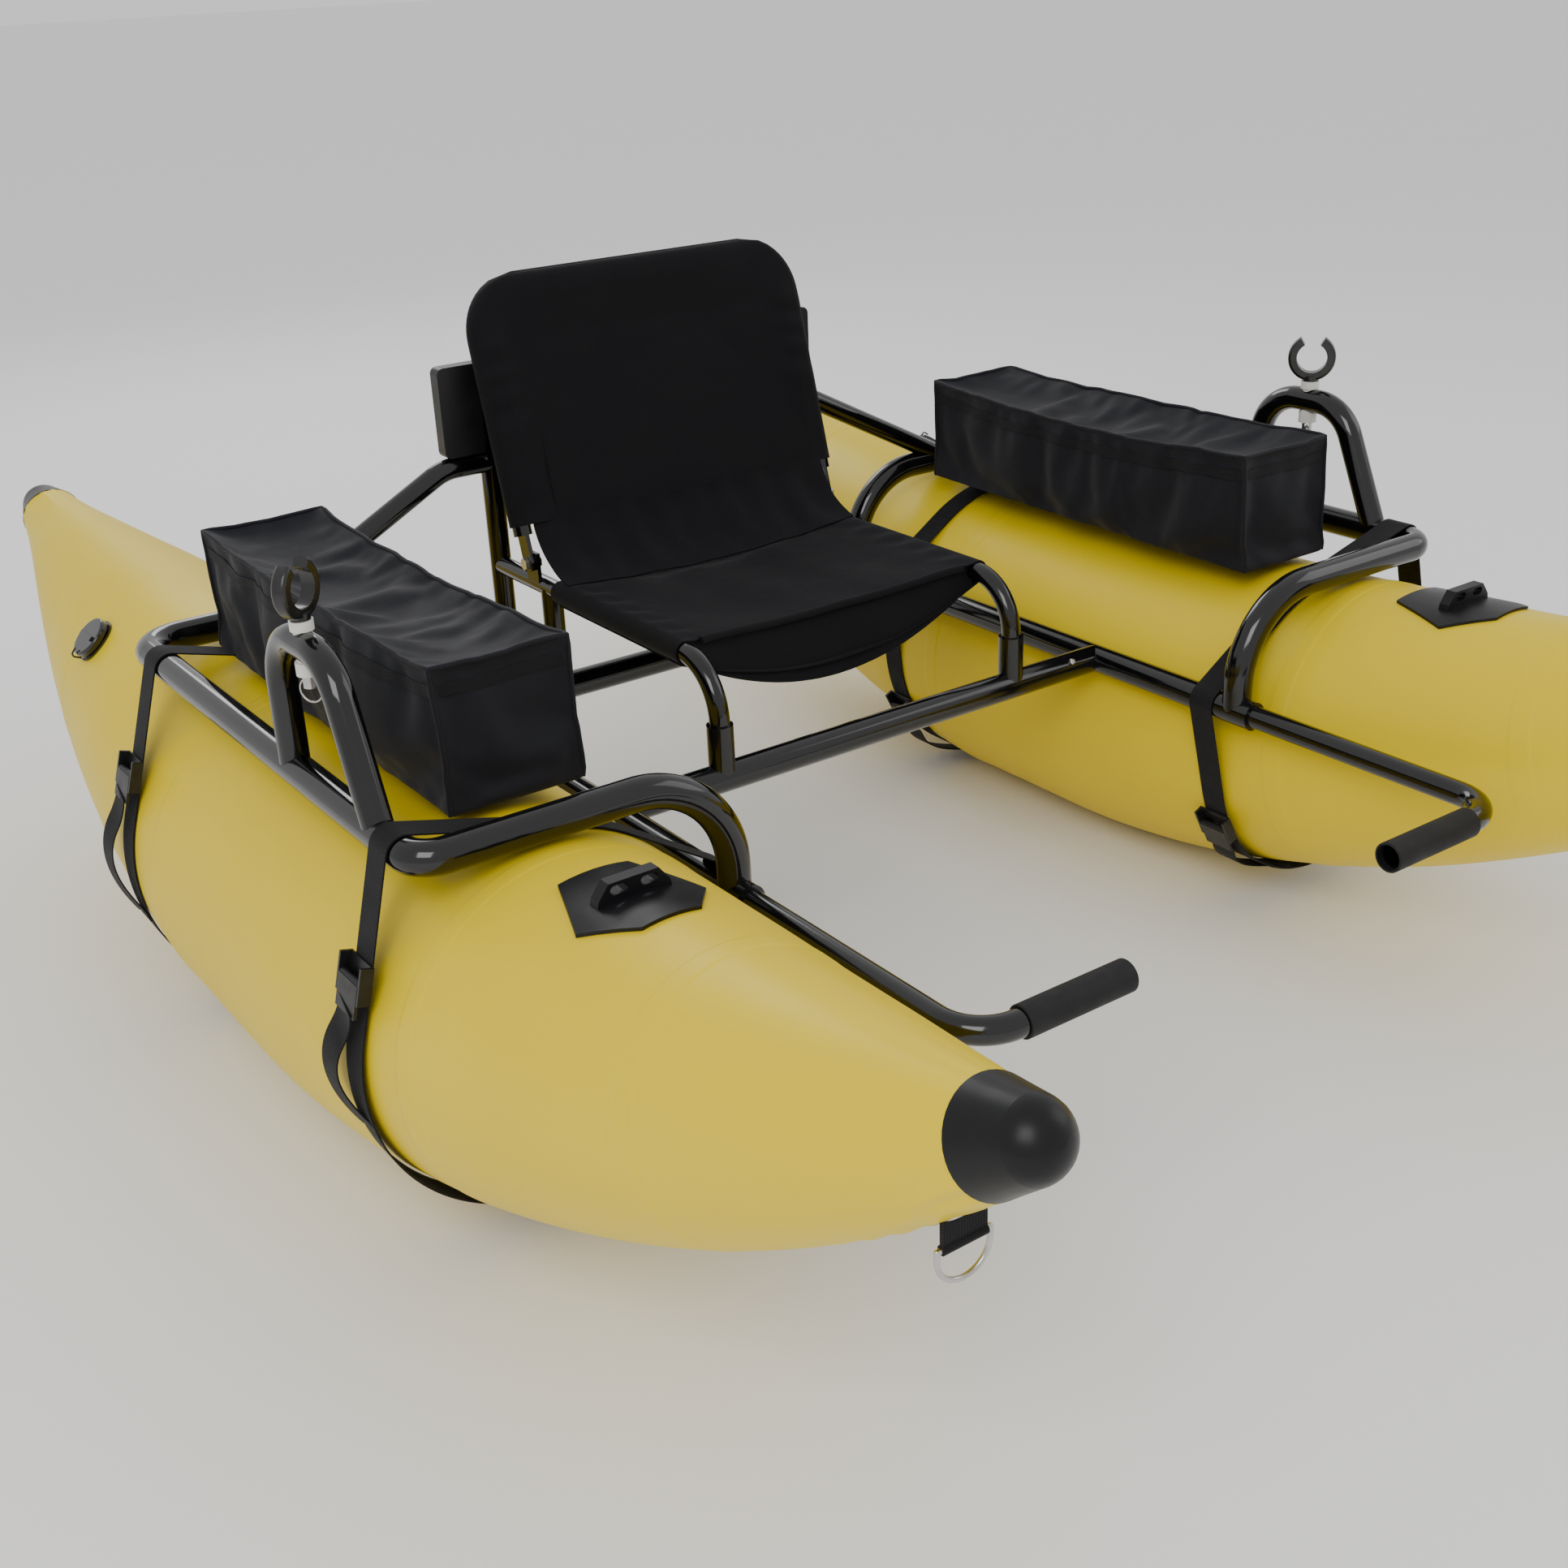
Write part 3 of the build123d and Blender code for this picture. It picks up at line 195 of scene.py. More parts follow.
finishes = {
    "pontoonSkin": dict(
        color=(0.80, 0.60, 0.0), second=(0.74, 0.53, 0.0), rough=(0.36, 0.48), size=3.5, grain=1500,
        grainDepth=0.00003, swell=9, swellDepth=0.0008, dust=0.03, dustColor=(0.66, 0.52, 0.05),
        specular=0.30),
    "framePaint": dict(
        color=(0.0016, 0.0016, 0.0019), second=(0.0040, 0.0040, 0.0044), rough=(0.08, 0.17), size=22,
        grain=420, grainDepth=0.00002, dust=0.04, dustColor=(0.05, 0.05, 0.05), coat=0.35,
        coatRough=0.06, specular=0.42),
    "mouldedRubber": dict(
        color=(0.0035, 0.0036, 0.0044), second=(0.0085, 0.0086, 0.0098), rough=(0.30, 0.42), size=14,
        grain=1100, grainDepth=0.00004, dust=0.04, dustColor=(0.03, 0.03, 0.03), specular=0.26),
    "seatCloth": dict(
        color=(0.0022, 0.0022, 0.0033), second=(0.0055, 0.0055, 0.0075), rough=(0.74, 0.88), size=11,
        grain=620, grainDepth=0.00020, threads=1150, threadDepth=0.00006, swell=24, swellDepth=0.0012,
        dust=0.10, dustColor=(0.022, 0.022, 0.027), sheen=0.03, specular=0.16),
    "bagCloth": dict(
        color=(0.0032, 0.0034, 0.0058), second=(0.0075, 0.0078, 0.0120), rough=(0.60, 0.76), size=9,
        grain=560, grainDepth=0.00022, threads=980, threadDepth=0.00006, swell=17, swellDepth=0.0024,
        dust=0.12, dustColor=(0.028, 0.029, 0.037), sheen=0.05, specular=0.22),
    "webbing": dict(
        color=(0.0030, 0.0030, 0.0038), second=(0.0070, 0.0070, 0.0085), rough=(0.66, 0.82), size=30,
        threads=420, threadDepth=0.0003, dust=0.10, dustColor=(0.03, 0.03, 0.03), sheen=0.04,
        specular=0.2),
    "platedSteel": dict(
        color=(0.62, 0.62, 0.60), second=(0.42, 0.41, 0.39), rough=(0.20, 0.40), size=60, grain=900,
        grainDepth=0.00004, metallic=1.0, specular=0.5),
    "whiteNylon": dict(
        color=(0.74, 0.73, 0.68), second=(0.62, 0.61, 0.55), rough=(0.36, 0.5), size=40, grain=800,
        grainDepth=0.00003, dust=0.2, dustColor=(0.35, 0.33, 0.29), specular=0.5),
    "glossPlastic": dict(
        color=(0.003, 0.003, 0.004), second=(0.008, 0.008, 0.010), rough=(0.12, 0.24), size=30,
        grain=600, grainDepth=0.00003, dust=0.12, dustColor=(0.12, 0.12, 0.11), coat=0.4,
        coatRough=0.1, specular=0.5),
    "buckleMetal": dict(
        color=(0.010, 0.010, 0.011), second=(0.035, 0.034, 0.033), rough=(0.28, 0.46), size=90,
        grain=700, grainDepth=0.00006, metallic=0.6, specular=0.5),
    "gripFoam": dict(
        color=(0.0035, 0.0035, 0.004), second=(0.008, 0.008, 0.0088), rough=(0.55, 0.75), size=35,
        grain=1300, grainDepth=0.00016, dust=0.12, dustColor=(0.08, 0.08, 0.08), specular=0.35),
    "boardPanel": dict(
        color=(0.0040, 0.0040, 0.0050), second=(0.0095, 0.0095, 0.0110), rough=(0.34, 0.5), size=16,
        grain=500, grainDepth=0.00008, dust=0.14, dustColor=(0.04, 0.04, 0.04), specular=0.40),
    "castHorn": dict(
        color=(0.0030, 0.0030, 0.0035), second=(0.0120, 0.0120, 0.0120), rough=(0.18, 0.34), size=85,
        grain=380, grainDepth=0.00010, dust=0.06, dustColor=(0.06, 0.06, 0.06), coat=0.25,
        coatRough=0.15, specular=0.45),
}


def makeFinish(name, look):
    material = bpy.data.materials.new(name)
    material.use_nodes = True
    tree = material.node_tree
    shader = tree.nodes["Principled BSDF"]
    coordinates = tree.nodes.new("ShaderNodeTexCoord").outputs["Object"]
    drift = tree.nodes.new("ShaderNodeGroup")
    drift.node_tree = groups["drift"]
    drift.inputs["Size"].default_value = look["size"]
    drift.inputs["Low"].default_value = look["rough"][0]
    drift.inputs["High"].default_value = look["rough"][1]
    tree.links.new(coordinates, drift.inputs["Vector"])
    tree.links.new(drift.outputs["Value"], shader.inputs["Roughness"])
    tone = tree.nodes.new("ShaderNodeMix")
    tone.data_type = "RGBA"
    tone.inputs["A"].default_value = (*look["color"], 1)
    tone.inputs["B"].default_value = (*look["second"], 1)
    tree.links.new(drift.outputs["Cloud"], tone.inputs["Factor"])
    colour = tone.outputs["Result"]
    if look.get("dust"):
        dust = tree.nodes.new("ShaderNodeGroup")
        dust.node_tree = groups["dust"]
        dust.inputs["Amount"].default_value = look["dust"]
        tree.links.new(coordinates, dust.inputs["Vector"])
        dusty = tree.nodes.new("ShaderNodeMix")
        dusty.data_type = "RGBA"
        dusty.inputs["B"].default_value = (*look["dustColor"], 1)
        tree.links.new(dust.outputs["Mask"], dusty.inputs["Factor"])
        tree.links.new(colour, dusty.inputs["A"])
        colour = dusty.outputs["Result"]
    tree.links.new(colour, shader.inputs["Base Color"])
    normal = None
    layers = []
    if look.get("grain"):
        grain = tree.nodes.new("ShaderNodeTexNoise")
        grain.inputs["Scale"].default_value = look["grain"]
        grain.inputs["Detail"].default_value = 3
        tree.links.new(coordinates, grain.inputs["Vector"])
        layers.append((grain.outputs["Fac"], look["grainDepth"]))
    if look.get("swell"):
        swell = tree.nodes.new("ShaderNodeTexNoise")
        swell.inputs["Scale"].default_value = look["swell"]
        tree.links.new(coordinates, swell.inputs["Vector"])
        layers.append((swell.outputs["Fac"], look["swellDepth"]))
    if look.get("threads"):
        weave = tree.nodes.new("ShaderNodeGroup")
        weave.node_tree = groups["weave"]
        weave.inputs["Threads"].default_value = look["threads"]
        tree.links.new(coordinates, weave.inputs["Vector"])
        layers.append((weave.outputs["Height"], look["threadDepth"]))
    for height, depth in layers:
        bump = tree.nodes.new("ShaderNodeBump")
        bump.inputs["Distance"].default_value = depth
        bump.inputs["Strength"].default_value = 1.0
        tree.links.new(height, bump.inputs["Height"])
        if normal:
            tree.links.new(normal, bump.inputs["Normal"])
        normal = bump.outputs["Normal"]
    tree.links.new(normal, shader.inputs["Normal"])
    shader.inputs["Metallic"].default_value = look.get("metallic", 0.0)
    shader.inputs["Specular IOR Level"].default_value = look["specular"]
    shader.inputs["Coat Weight"].default_value = look.get("coat", 0.0)
    shader.inputs["Coat Roughness"].default_value = look.get("coatRough", 0.1)
    shader.inputs["Sheen Weight"].default_value = look.get("sheen", 0.0)
    shader.inputs["Sheen Roughness"].default_value = 0.5
    return material


finish = {name: makeFinish(name, look) for name, look in finishes.items()}
slotFinish = {
    "pontoon_skin": "pontoonSkin", "moulded_rubber": "mouldedRubber", "frame_paint": "framePaint",
    "seat_fabric": "seatCloth", "bag_fabric": "bagCloth", "webbing": "webbing", "bare_steel": "platedSteel",
    "nylon": "whiteNylon", "valve_plastic": "glossPlastic", "buckle_metal": "buckleMetal",
    "grip_rubber": "gripFoam", "board_panel": "boardPanel", "oarlock_metal": "castHorn",
}
nodeSlot = {part["node"]: part["material_slot"] for part in frame["record"]["subparts"]}
for nodeName, node in frame["nodes"].items():
    node.data.materials.clear()
    node.data.materials.append(finish[slotFinish[nodeSlot[nodeName]]])
pinLook = {"top": 0.5605}
for sideName in ("port", "starboard"):
    horn = frame["nodes"][sideName + "_oarlock"]
    horn.data.materials.append(finish["platedSteel"])
    for face in horn.data.polygons:
        face.material_index = 1 if face.center.z < pinLook["top"] else 0
print("finishes made")


# ---- helpers for new pieces ----
def settle(piece, name, material, body="boat_frame", smooth=True):
    piece.name = name
    piece.data.name = name
    bpy.ops.object.select_all(action="DESELECT")
    bpy.context.view_layer.objects.active = piece
    piece.select_set(True)
    bpy.ops.object.transform_apply(location=True, rotation=True, scale=True)
    if smooth:
        bpy.ops.object.shade_smooth_by_angle(angle=math.radians(50))
    piece.select_set(False)
    piece.data.materials.clear()
    piece.data.materials.append(finish[material])
    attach(piece, body)
    return piece


def applyModifier(piece, kind, **values):
    modifier = piece.modifiers.new(kind.title(), kind)
    for key, value in values.items():
        setattr(modifier, key, value)
    bpy.context.view_layer.objects.active = piece
    bpy.ops.object.modifier_apply(modifier=modifier.name)


def wrappedGrid(rows, columns, place, closeAround=False):
    # a grid laid over a surface: place(u, v) gives the point, u along and v around, both 0 to 1
    bpy.ops.mesh.primitive_grid_add(x_subdivisions=rows, y_subdivisions=columns, size=1)
    piece = bpy.context.object
    for vertex in piece.data.vertices:
        vertex.co = place(min(1.0, max(0.0, vertex.co.x + 0.5)), min(1.0, max(0.0, vertex.co.y + 0.5)))
    if closeAround:
        bpy.ops.object.mode_set(mode="EDIT")
        bpy.ops.mesh.select_all(action="SELECT")
        bpy.ops.mesh.remove_doubles(threshold=0.00001)
        bpy.ops.mesh.normals_make_consistent(inside=False)
        bpy.ops.object.mode_set(mode="OBJECT")
    return piece


def tubeAlong(points, radius, closed=False, sides=4, name="tube"):
    curve = bpy.data.curves.new(name, "CURVE")
    curve.dimensions = "3D"
    curve.bevel_depth = radius
    curve.bevel_resolution = sides
    curve.use_fill_caps = not closed
    spline = curve.splines.new("POLY")
    spline.points.add(len(points) - 1)
    for point, place in zip(spline.points, points):
        point.co = (*place, 1)
    spline.use_cyclic_u = closed
    piece = bpy.data.objects.new(name, curve)
    bpy.context.collection.objects.link(piece)
    bpy.ops.object.select_all(action="DESELECT")
    bpy.context.view_layer.objects.active = piece
    piece.select_set(True)
    bpy.ops.object.convert(target="MESH")
    return bpy.context.object


def joined(parts):
    bpy.ops.object.select_all(action="DESELECT")
    for part in parts:
        part.select_set(True)
    bpy.context.view_layer.objects.active = parts[0]
    bpy.ops.object.join()
    return bpy.context.object


def ribbon(path, width, thickness):
    # path gives (centre, outward normal); the band lies square across it
    count = len(path)

    def place(u, v):
        index = min(count - 1, round(u * (count - 1)))
        centre, normal = path[index]
        ahead = path[min(count - 1, index + 1)][0] - path[max(0, index - 1)][0]
        across = normal.cross(ahead).normalized()
        corner = v * 4
        w, h = width / 2, thickness / 2
        ring = [(-w, -h), (w, -h), (w, h), (-w, h), (-w, -h)]
        k = min(3, int(corner))
        f = corner - k
        a = ring[k][0] + (ring[k + 1][0] - ring[k][0]) * f
        b = ring[k][1] + (ring[k + 1][1] - ring[k][1]) * f
        return centre + across * a + normal * b

    piece = wrappedGrid(count - 1, 12, place, closeAround=True)
    return piece


# ---- pontoons ----
skinLook = {"rows": 250, "columns": 120, "tapeWidth": 0.026, "tapeThickness": 0.0007, "tapeBite": 0.0002,
            "seams": [-0.740, -0.470, 0.088, 0.520], "tabY": -0.975, "ripple": 0.0011}


def skinRelief(side, y, angle):
    # ripples round the towing tab, gathers at both noses and a soft unevenness elsewhere
    end = 1 - min(1.0, (boat["skinEnd"] - abs(y)) / 0.16)
    relief = 0.0005 * max(0.0, end) * math.sin(angle * 17 + 2 * side) * (0.5 + 0.5 * math.sin(angle * 5))
    below = abs(math.remainder(angle + math.pi / 2, math.tau)) * sectionRadius(y)
    far = math.hypot((y - skinLook["tabY"]) * 0.8, below * 1.1)
    if y < -0.7:
        relief += skinLook["ripple"] * math.sin(far * 260) * math.exp(-((far - 0.055) / 0.045) ** 2)
    spot = Vector((math.cos(angle), math.sin(angle), y * 5 + side * 9))
    relief += 0.0007 * noise.noise(spot * 1.6)
    for strapY in (-0.398, 0.165, boat["frontArchY"], boat["rearArchY"]):
        relief -= 0.0006 * math.exp(-((y - strapY) / 0.022) ** 2)
    return min(relief, 0.0003) if abs(y) < 0.5 else relief


def makePontoonSkin(side, sideName):
    end = boat["skinEnd"]

    def place(u, v):
        y = -end + 2 * end * min(1.0, max(0.0, (u * 1.008 - 0.004)))
        angle = v * math.tau - math.pi / 2
        point = skinPoint(side, y, angle, skinRelief(side, y, angle))
        if u in (0.0, 1.0):
            point = Vector((side * boat["pontoonX"], y, sectionHeight(y)))
        return point

    skin = wrappedGrid(skinLook["rows"], skinLook["columns"], place, closeAround=True)
    settle(skin, sideName + "PontoonSkin", "pontoonSkin")
    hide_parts(sideName + "_pontoon")
    tapes = []
    for seam in skinLook["seams"]:
        def placeTape(u, v, seam=seam):
            angle = v * math.tau - math.pi / 2
            edge = min(1.0, min(u, 1 - u) * 8)
            y = seam + (u - 0.5) * skinLook["tapeWidth"]
            lift = skinLook["tapeThickness"] * edge - skinLook["tapeBite"]
            return skinPoint(side, y, angle, skinRelief(side, y, angle) + lift)
        tapes.append(wrappedGrid(9, 120, placeTape, closeAround=True))
    settle(joined(tapes), sideName + "SeamTapes", "pontoonSkin")


for side, sideName in ((1, "port"), (-1, "starboard")):
    makePontoonSkin(side, sideName)
print("pontoons made")


# ---- cloth ----
clothLook = {"frames": 20}


def simulate(piece, pinned, pressure, slack, gravity, cap, stiffness=12, bending=0.4):
    # lets the fabric settle, then keeps every point within cap of where it was sewn
    start = [v.co.copy() for v in piece.data.vertices]
    group = piece.vertex_groups.new(name="held")
    for index, weight in pinned.items():
        group.add([index], weight, "REPLACE")
    cloth = piece.modifiers.new("Cloth", "CLOTH")
    settings = cloth.settings
    settings.quality = 4
    settings.mass = 0.25
    settings.tension_stiffness = stiffness
    settings.compression_stiffness = stiffness
    settings.shear_stiffness = stiffness * 0.4
    settings.bending_stiffness = bending
    settings.use_pressure = pressure != 0
    settings.uniform_pressure_force = pressure
    settings.shrink_min = -slack
    settings.vertex_group_mass = "held"
    settings.effector_weights.gravity = gravity
    cloth.collision_settings.use_collision = False
    cloth.point_cache.frame_start = 1
    cloth.point_cache.frame_end = clothLook["frames"]
    for step in range(1, clothLook["frames"] + 1):
        bpy.context.scene.frame_set(step)
    shaped = piece.evaluated_get(bpy.context.evaluated_depsgraph_get()).to_mesh()
    moved = [v.co.copy() for v in shaped.vertices]
    piece.modifiers.remove(cloth)
    bpy.context.scene.frame_set(1)
    for vertex, before, after in zip(piece.data.vertices, start, moved):
        shift = after - before
        if shift.length > cap:
            shift = shift.normalized() * cap
        vertex.co = before + shift
    piece.vertex_groups.clear()


# ---- storage bags ----
bagLook = {"step": 0.0125, "inset": 0.006, "sag": 0.016, "piping": 0.0024,
           "zipDrop": 0.022, "zipWidth": 0.011}


def bagShape(point, low, high, side):
    # the sewn shape before it settles: the lid dips between stiff rims and the front end leans
    u = (point.x - low.x) / (high.x - low.x)
    v = (point.y - low.y) / (high.y - low.y)
    w = (point.z - low.z) / (high.z - low.z)
    shaped = point.copy()
    lidDip = (1 - (2 * u - 1) ** 4) * (1 - (2 * v - 1) ** 6)
    inner = 1 - u if side > 0 else u
    rim = 0.35 + 0.65 * (1 - abs(2 * v - 1) ** 3)
    shaped.z -= w ** 3 * bagLook["sag"] * lidDip * rim
    shaped.z -= w * 0.007 * math.sin(v * math.pi) * (0.4 + inner)
    belly = math.sin(math.pi * min(1.0, w * 1.1)) * 0.5
    shaped.x += (2 * u - 1) * 0.006 * belly * math.sin(v * math.pi)
    shaped.y += 0.010 * (1 - v) ** 6 * (w - 0.3)
    wrinkle = noise.noise(Vector((point.x * 9, point.y * 7, point.z * 16 + side * 4)))
    shaped.x += 0.0045 * wrinkle * (abs(2 * u - 1) ** 4) * math.sin(math.pi * w)
    shaped.z += 0.003 * w * noise.noise(Vector((point.x * 22, point.y * 13, side * 3.0)))
    return shaped


def makeBag(side, sideName):
    low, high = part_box(sideName + "_bag")
    inset = Vector((bagLook["inset"], bagLook["inset"], 0.001))
    low = low + inset
    high = high - Vector((bagLook["inset"], bagLook["inset"], 0.002))
    size = high - low
    bpy.ops.mesh.primitive_cube_add(size=1, location=(low + high) / 2)
    bag = bpy.context.object
    bag.scale = size
    bpy.ops.object.transform_apply(location=True, rotation=True, scale=True)
    bpy.ops.object.mode_set(mode="EDIT")
    mesh = bmesh.from_edit_mesh(bag.data)
    for axis in range(3):
        edges = [e for e in mesh.edges
                 if abs(abs((e.verts[0].co - e.verts[1].co)[axis]) - size[axis]) < 1e-5]
        cuts = max(1, round(size[axis] / bagLook["step"]) - 1)
        bmesh.ops.subdivide_edges(mesh, edges=edges, cuts=cuts, use_grid_fill=True)
    bmesh.update_edit_mesh(bag.data)
    bpy.ops.object.mode_set(mode="OBJECT")
    rims = {}
    pinned = {}
    for vertex in bag.data.vertices:
        atEdge = [abs(vertex.co[i] - low[i]) < 1e-4 or abs(vertex.co[i] - high[i]) < 1e-4 for i in range(3)]
        if sum(atEdge) >= 2:
            rims[vertex.index] = vertex.co.copy()
            pinned[vertex.index] = 0.75
        if abs(vertex.co.z - low.z) < 1e-4:
            pinned[vertex.index] = 1.0
    top = sorted((i for i, co in rims.items() if abs(co.z - high.z) < 1e-4),
                 key=lambda i: math.atan2((rims[i].y - (low.y + high.y) / 2) / size.y,
                                          (rims[i].x - (low.x + high.x) / 2) / size.x))
    posts = []
    for x in (low.x, high.x):
        for y in (low.y, high.y):
            post = [i for i, co in rims.items() if abs(co.x - x) < 1e-4 and abs(co.y - y) < 1e-4]
            posts.append(sorted(post, key=lambda i: rims[i].z))
    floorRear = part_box(sideName + "_bag")[0].z + 0.003
    for vertex in bag.data.vertices:
        vertex.co = bagShape(vertex.co, low, high, side)
        rise = 0.0105 * (vertex.co.y - low.y) / size.y
        vertex.co.z = max(vertex.co.z, floorRear + rise)
    simulate(bag, pinned, pressure=1.3, slack=0.045, gravity=0.35, cap=0.015)
    applyModifier(bag, "SUBSURF", levels=2, render_levels=2)
    outline = [bag.data.vertices[i].co.copy() for i in top]
    corners = [[bag.data.vertices[i].co.copy() for i in post] for post in posts]
    settle(bag, sideName + "Bag", "bagCloth")
    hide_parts(sideName + "_bag")
    zipRun = []
    for point in outline:
        away = Vector((point.x - (low.x + high.x) / 2, (point.y - (low.y + high.y) / 2) * size.x / size.y, 0))
        outside = point + away.normalized() * 0.05 - Vector((0, 0, bagLook["zipDrop"]))
        hit, spot, normal, face = bag.ray_cast(outside, -away.normalized())
        if hit:
            zipRun.append((spot + normal * 0.0006, normal))
    zipBand = ribbon(zipRun + zipRun[:1], bagLook["zipWidth"], 0.0012)
    settle(zipBand, sideName + "BagZip", "webbing")
    piping = [tubeAlong(outline, bagLook["piping"], closed=True)]
    piping += [tubeAlong(corner, bagLook["piping"] * 0.9) for corner in corners]
    settle(joined(piping), sideName + "BagPiping", "bagCloth")


for side, sideName in ((1, "port"), (-1, "starboard")):
    makeBag(side, sideName)
print("bags made")


# ---- seat ----
seatLook = {"front": -0.158, "rear": 0.106, "sag": 0.013, "hem": 0.0042, "wrap": 0.0122, "underSag": 0.044,
            "frontDrop": 0.016, "thickness": 0.0018}


def makeSling():
    front = seatLook["front"]
    length = seatLook["rear"] - front
    wrap = seatLook["wrap"]
    halfTurn = math.pi * 0.92

    def place(u, v):
        # v runs from under one side tube, over it, across and round the other
        y = front + u * length
        arc = wrap * halfTurn
        span = 2 * boat["seatX"]
        s = v * (span + 2 * arc)
        if s < arc:
            turn = math.pi / 2 + (arc - s) / wrap
            x = -boat["seatX"] + wrap * math.cos(turn)
            z = boat["seatZ"] + wrap * math.sin(turn)
        elif s > arc + span:
            turn = math.pi / 2 - (s - arc - span) / wrap
            x = boat["seatX"] + wrap * math.cos(turn)
            z = boat["seatZ"] + wrap * math.sin(turn)
        else:
            x = s - arc - boat["seatX"]
            t = x / boat["seatX"]
            z = boat["seatZ"] + wrap - seatLook["sag"] * (1 - t * t)
            pull = (1 - t * t) * (0.4 + 0.6 * (1 - u))
            z += 0.0034 * noise.noise(Vector((x * 13, y * 10, 1.7))) * min(1.0, 3 * (1 - abs(t)))
            z += 0.0016 * math.sin(y * 150 + 3 * math.sin(x * 8)) * math.exp(-((abs(t) - 0.93) / 0.06) ** 2)
            y += 0.020 * pull * (1 - u) ** 4
        return Vector((x, y, z))

    sling = wrappedGrid(64, 130, place)
    applyModifier(sling, "SOLIDIFY", thickness=seatLook["thickness"], offset=0)
    settle(sling, "seatSling", "seatCloth")
    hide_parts("seat_sling")

    def placeUnder(u, v):
        y = front + 0.004 + u * (length - 0.006)
        t = 2 * v - 1
        x = t * (boat["seatX"] + 0.004)
        z = boat["seatZ"] - wrap - 0.0025 - seatLook["underSag"] * (1 - t * t)
        z += 0.003 * noise.noise(Vector((x * 11, y * 8, 5.2))) * (1 - t * t)
        return Vector((x, y, z))

    under = wrappedGrid(48, 80, placeUnder)
    applyModifier(under, "SOLIDIFY", thickness=seatLook["thickness"], offset=0)
    settle(under, "seatUnderlay", "seatCloth")
    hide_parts("seat_underlay")

    def frontPanel(u, v):
        t = 2 * v - 1
        x = t * (boat["seatX"] - 0.004)
        topZ = boat["seatZ"] + wrap - seatLook["sag"] * (1 - t * t) - 0.002
        lowZ = boat["seatZ"] - wrap - (seatLook["underSag"] + seatLook["frontDrop"]) * (1 - t * t) - 0.004
        y = front + 0.006 + 0.020 * (1 - t * t) * (1 - u)
        z = topZ + (lowZ - topZ) * u
        y += 0.006 * math.sin(u * math.pi) * noise.noise(Vector((x * 18, 2.0, z * 9)))
        return Vector((x, y, z))

    panel = wrappedGrid(18, 80, frontPanel)
    applyModifier(panel, "SOLIDIFY", thickness=0.0016, offset=0)
    settle(panel, "seatFrontPanel", "seatCloth")
    hemLine = [place(0.0, 0.12 + 0.76 * i / 60) + Vector((0, -0.001, -0.0015)) for i in range(61)]
    hem = tubeAlong(hemLine, seatLook["hem"])
    settle(hem, "seatFrontHem", "seatCloth")


backLook = {"dip": 0.0090, "pleat": 0.0026, "rumple": 0.0048}


def makeBackCover():
    lean = boat["backLean"]
    across = Vector((1, 0, 0))
    up = Vector((0, math.sin(lean), math.cos(lean)))
    out = up.cross(across) * -1
    origin = Vector((0, boat["pivotY"], boat["pivotZ"]))
    half = 0.0134
    halfWidth = boat["backX"] + half
    bottom = 0.043
    top = boat["backHeight"] + 0.0015
    corner = 0.071
    height = top - bottom

    def place(u, v):
        # u climbs the back and v goes round the pocket, front sheet first
        turn = v * math.tau
        c, s = math.cos(turn), math.sin(turn)
        reach = halfWidth
        level = bottom + u * height
        toTop = top - level
        if toTop < corner:
            reach = halfWidth - corner + math.sqrt(max(0.0, corner ** 2 - (corner - toTop) ** 2))
        x = reach * (abs(c) ** 0.30) * (1 if c > 0 else -1)
        t = abs(x) / halfWidth
        thick = half
        if toTop < half:
            thick = math.sqrt(max(0.0, half ** 2 - (half - toTop) ** 2))
        edge = min(1.0, (reach - abs(x)) / half) if reach > abs(x) else 0.0
        round_ = math.sqrt(max(0.0, 1 - (1 - edge) ** 2))
        open_ = max(0.0, 1 - (t / 0.87) ** 5) * min(1.0, max(0.0, toTop - 0.026) / 0.05)
        dip = backLook["dip"] * open_ * min(1.0, (u + 0.02) / 0.2)
        depth = max(0.0, thick * round_ - dip * round_)
        waves = 0.5 + 0.5 * math.sin(level * 120 + 4 * math.sin(level * 31) + t * 7)
        pleat = backLook["pleat"] * waves * math.exp(-((t - 0.90) / 0.10) ** 2)
        rumple = backLook["rumple"] * noise.noise(Vector((x * 9, level * 6, 3.3 if s > 0 else 8.1))) * open_
        depth = max(0.0003, depth + (pleat + rumple) * round_)
        front = 1 if s >= 0 else -1
        return origin + across * x + up * level + out * (-front * depth)

    cover = wrappedGrid(44, 150, place, closeAround=True)
    bpy.ops.object.mode_set(mode="EDIT")
    bpy.ops.mesh.select_all(action="DESELECT")
    bpy.ops.mesh.select_non_manifold()
    bpy.ops.mesh.edge_face_add()
    bpy.ops.mesh.select_all(action="SELECT")
    bpy.ops.mesh.quads_convert_to_tris()
    bpy.ops.mesh.normals_make_consistent(inside=False)
    bpy.ops.object.mode_set(mode="OBJECT")
    settle(cover, "seatBackCover", "seatCloth", body="seat_back")
    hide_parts("seat_back_cover")


flapLook = {"half": 0.203, "rows": 26, "thickness": 0.0022}


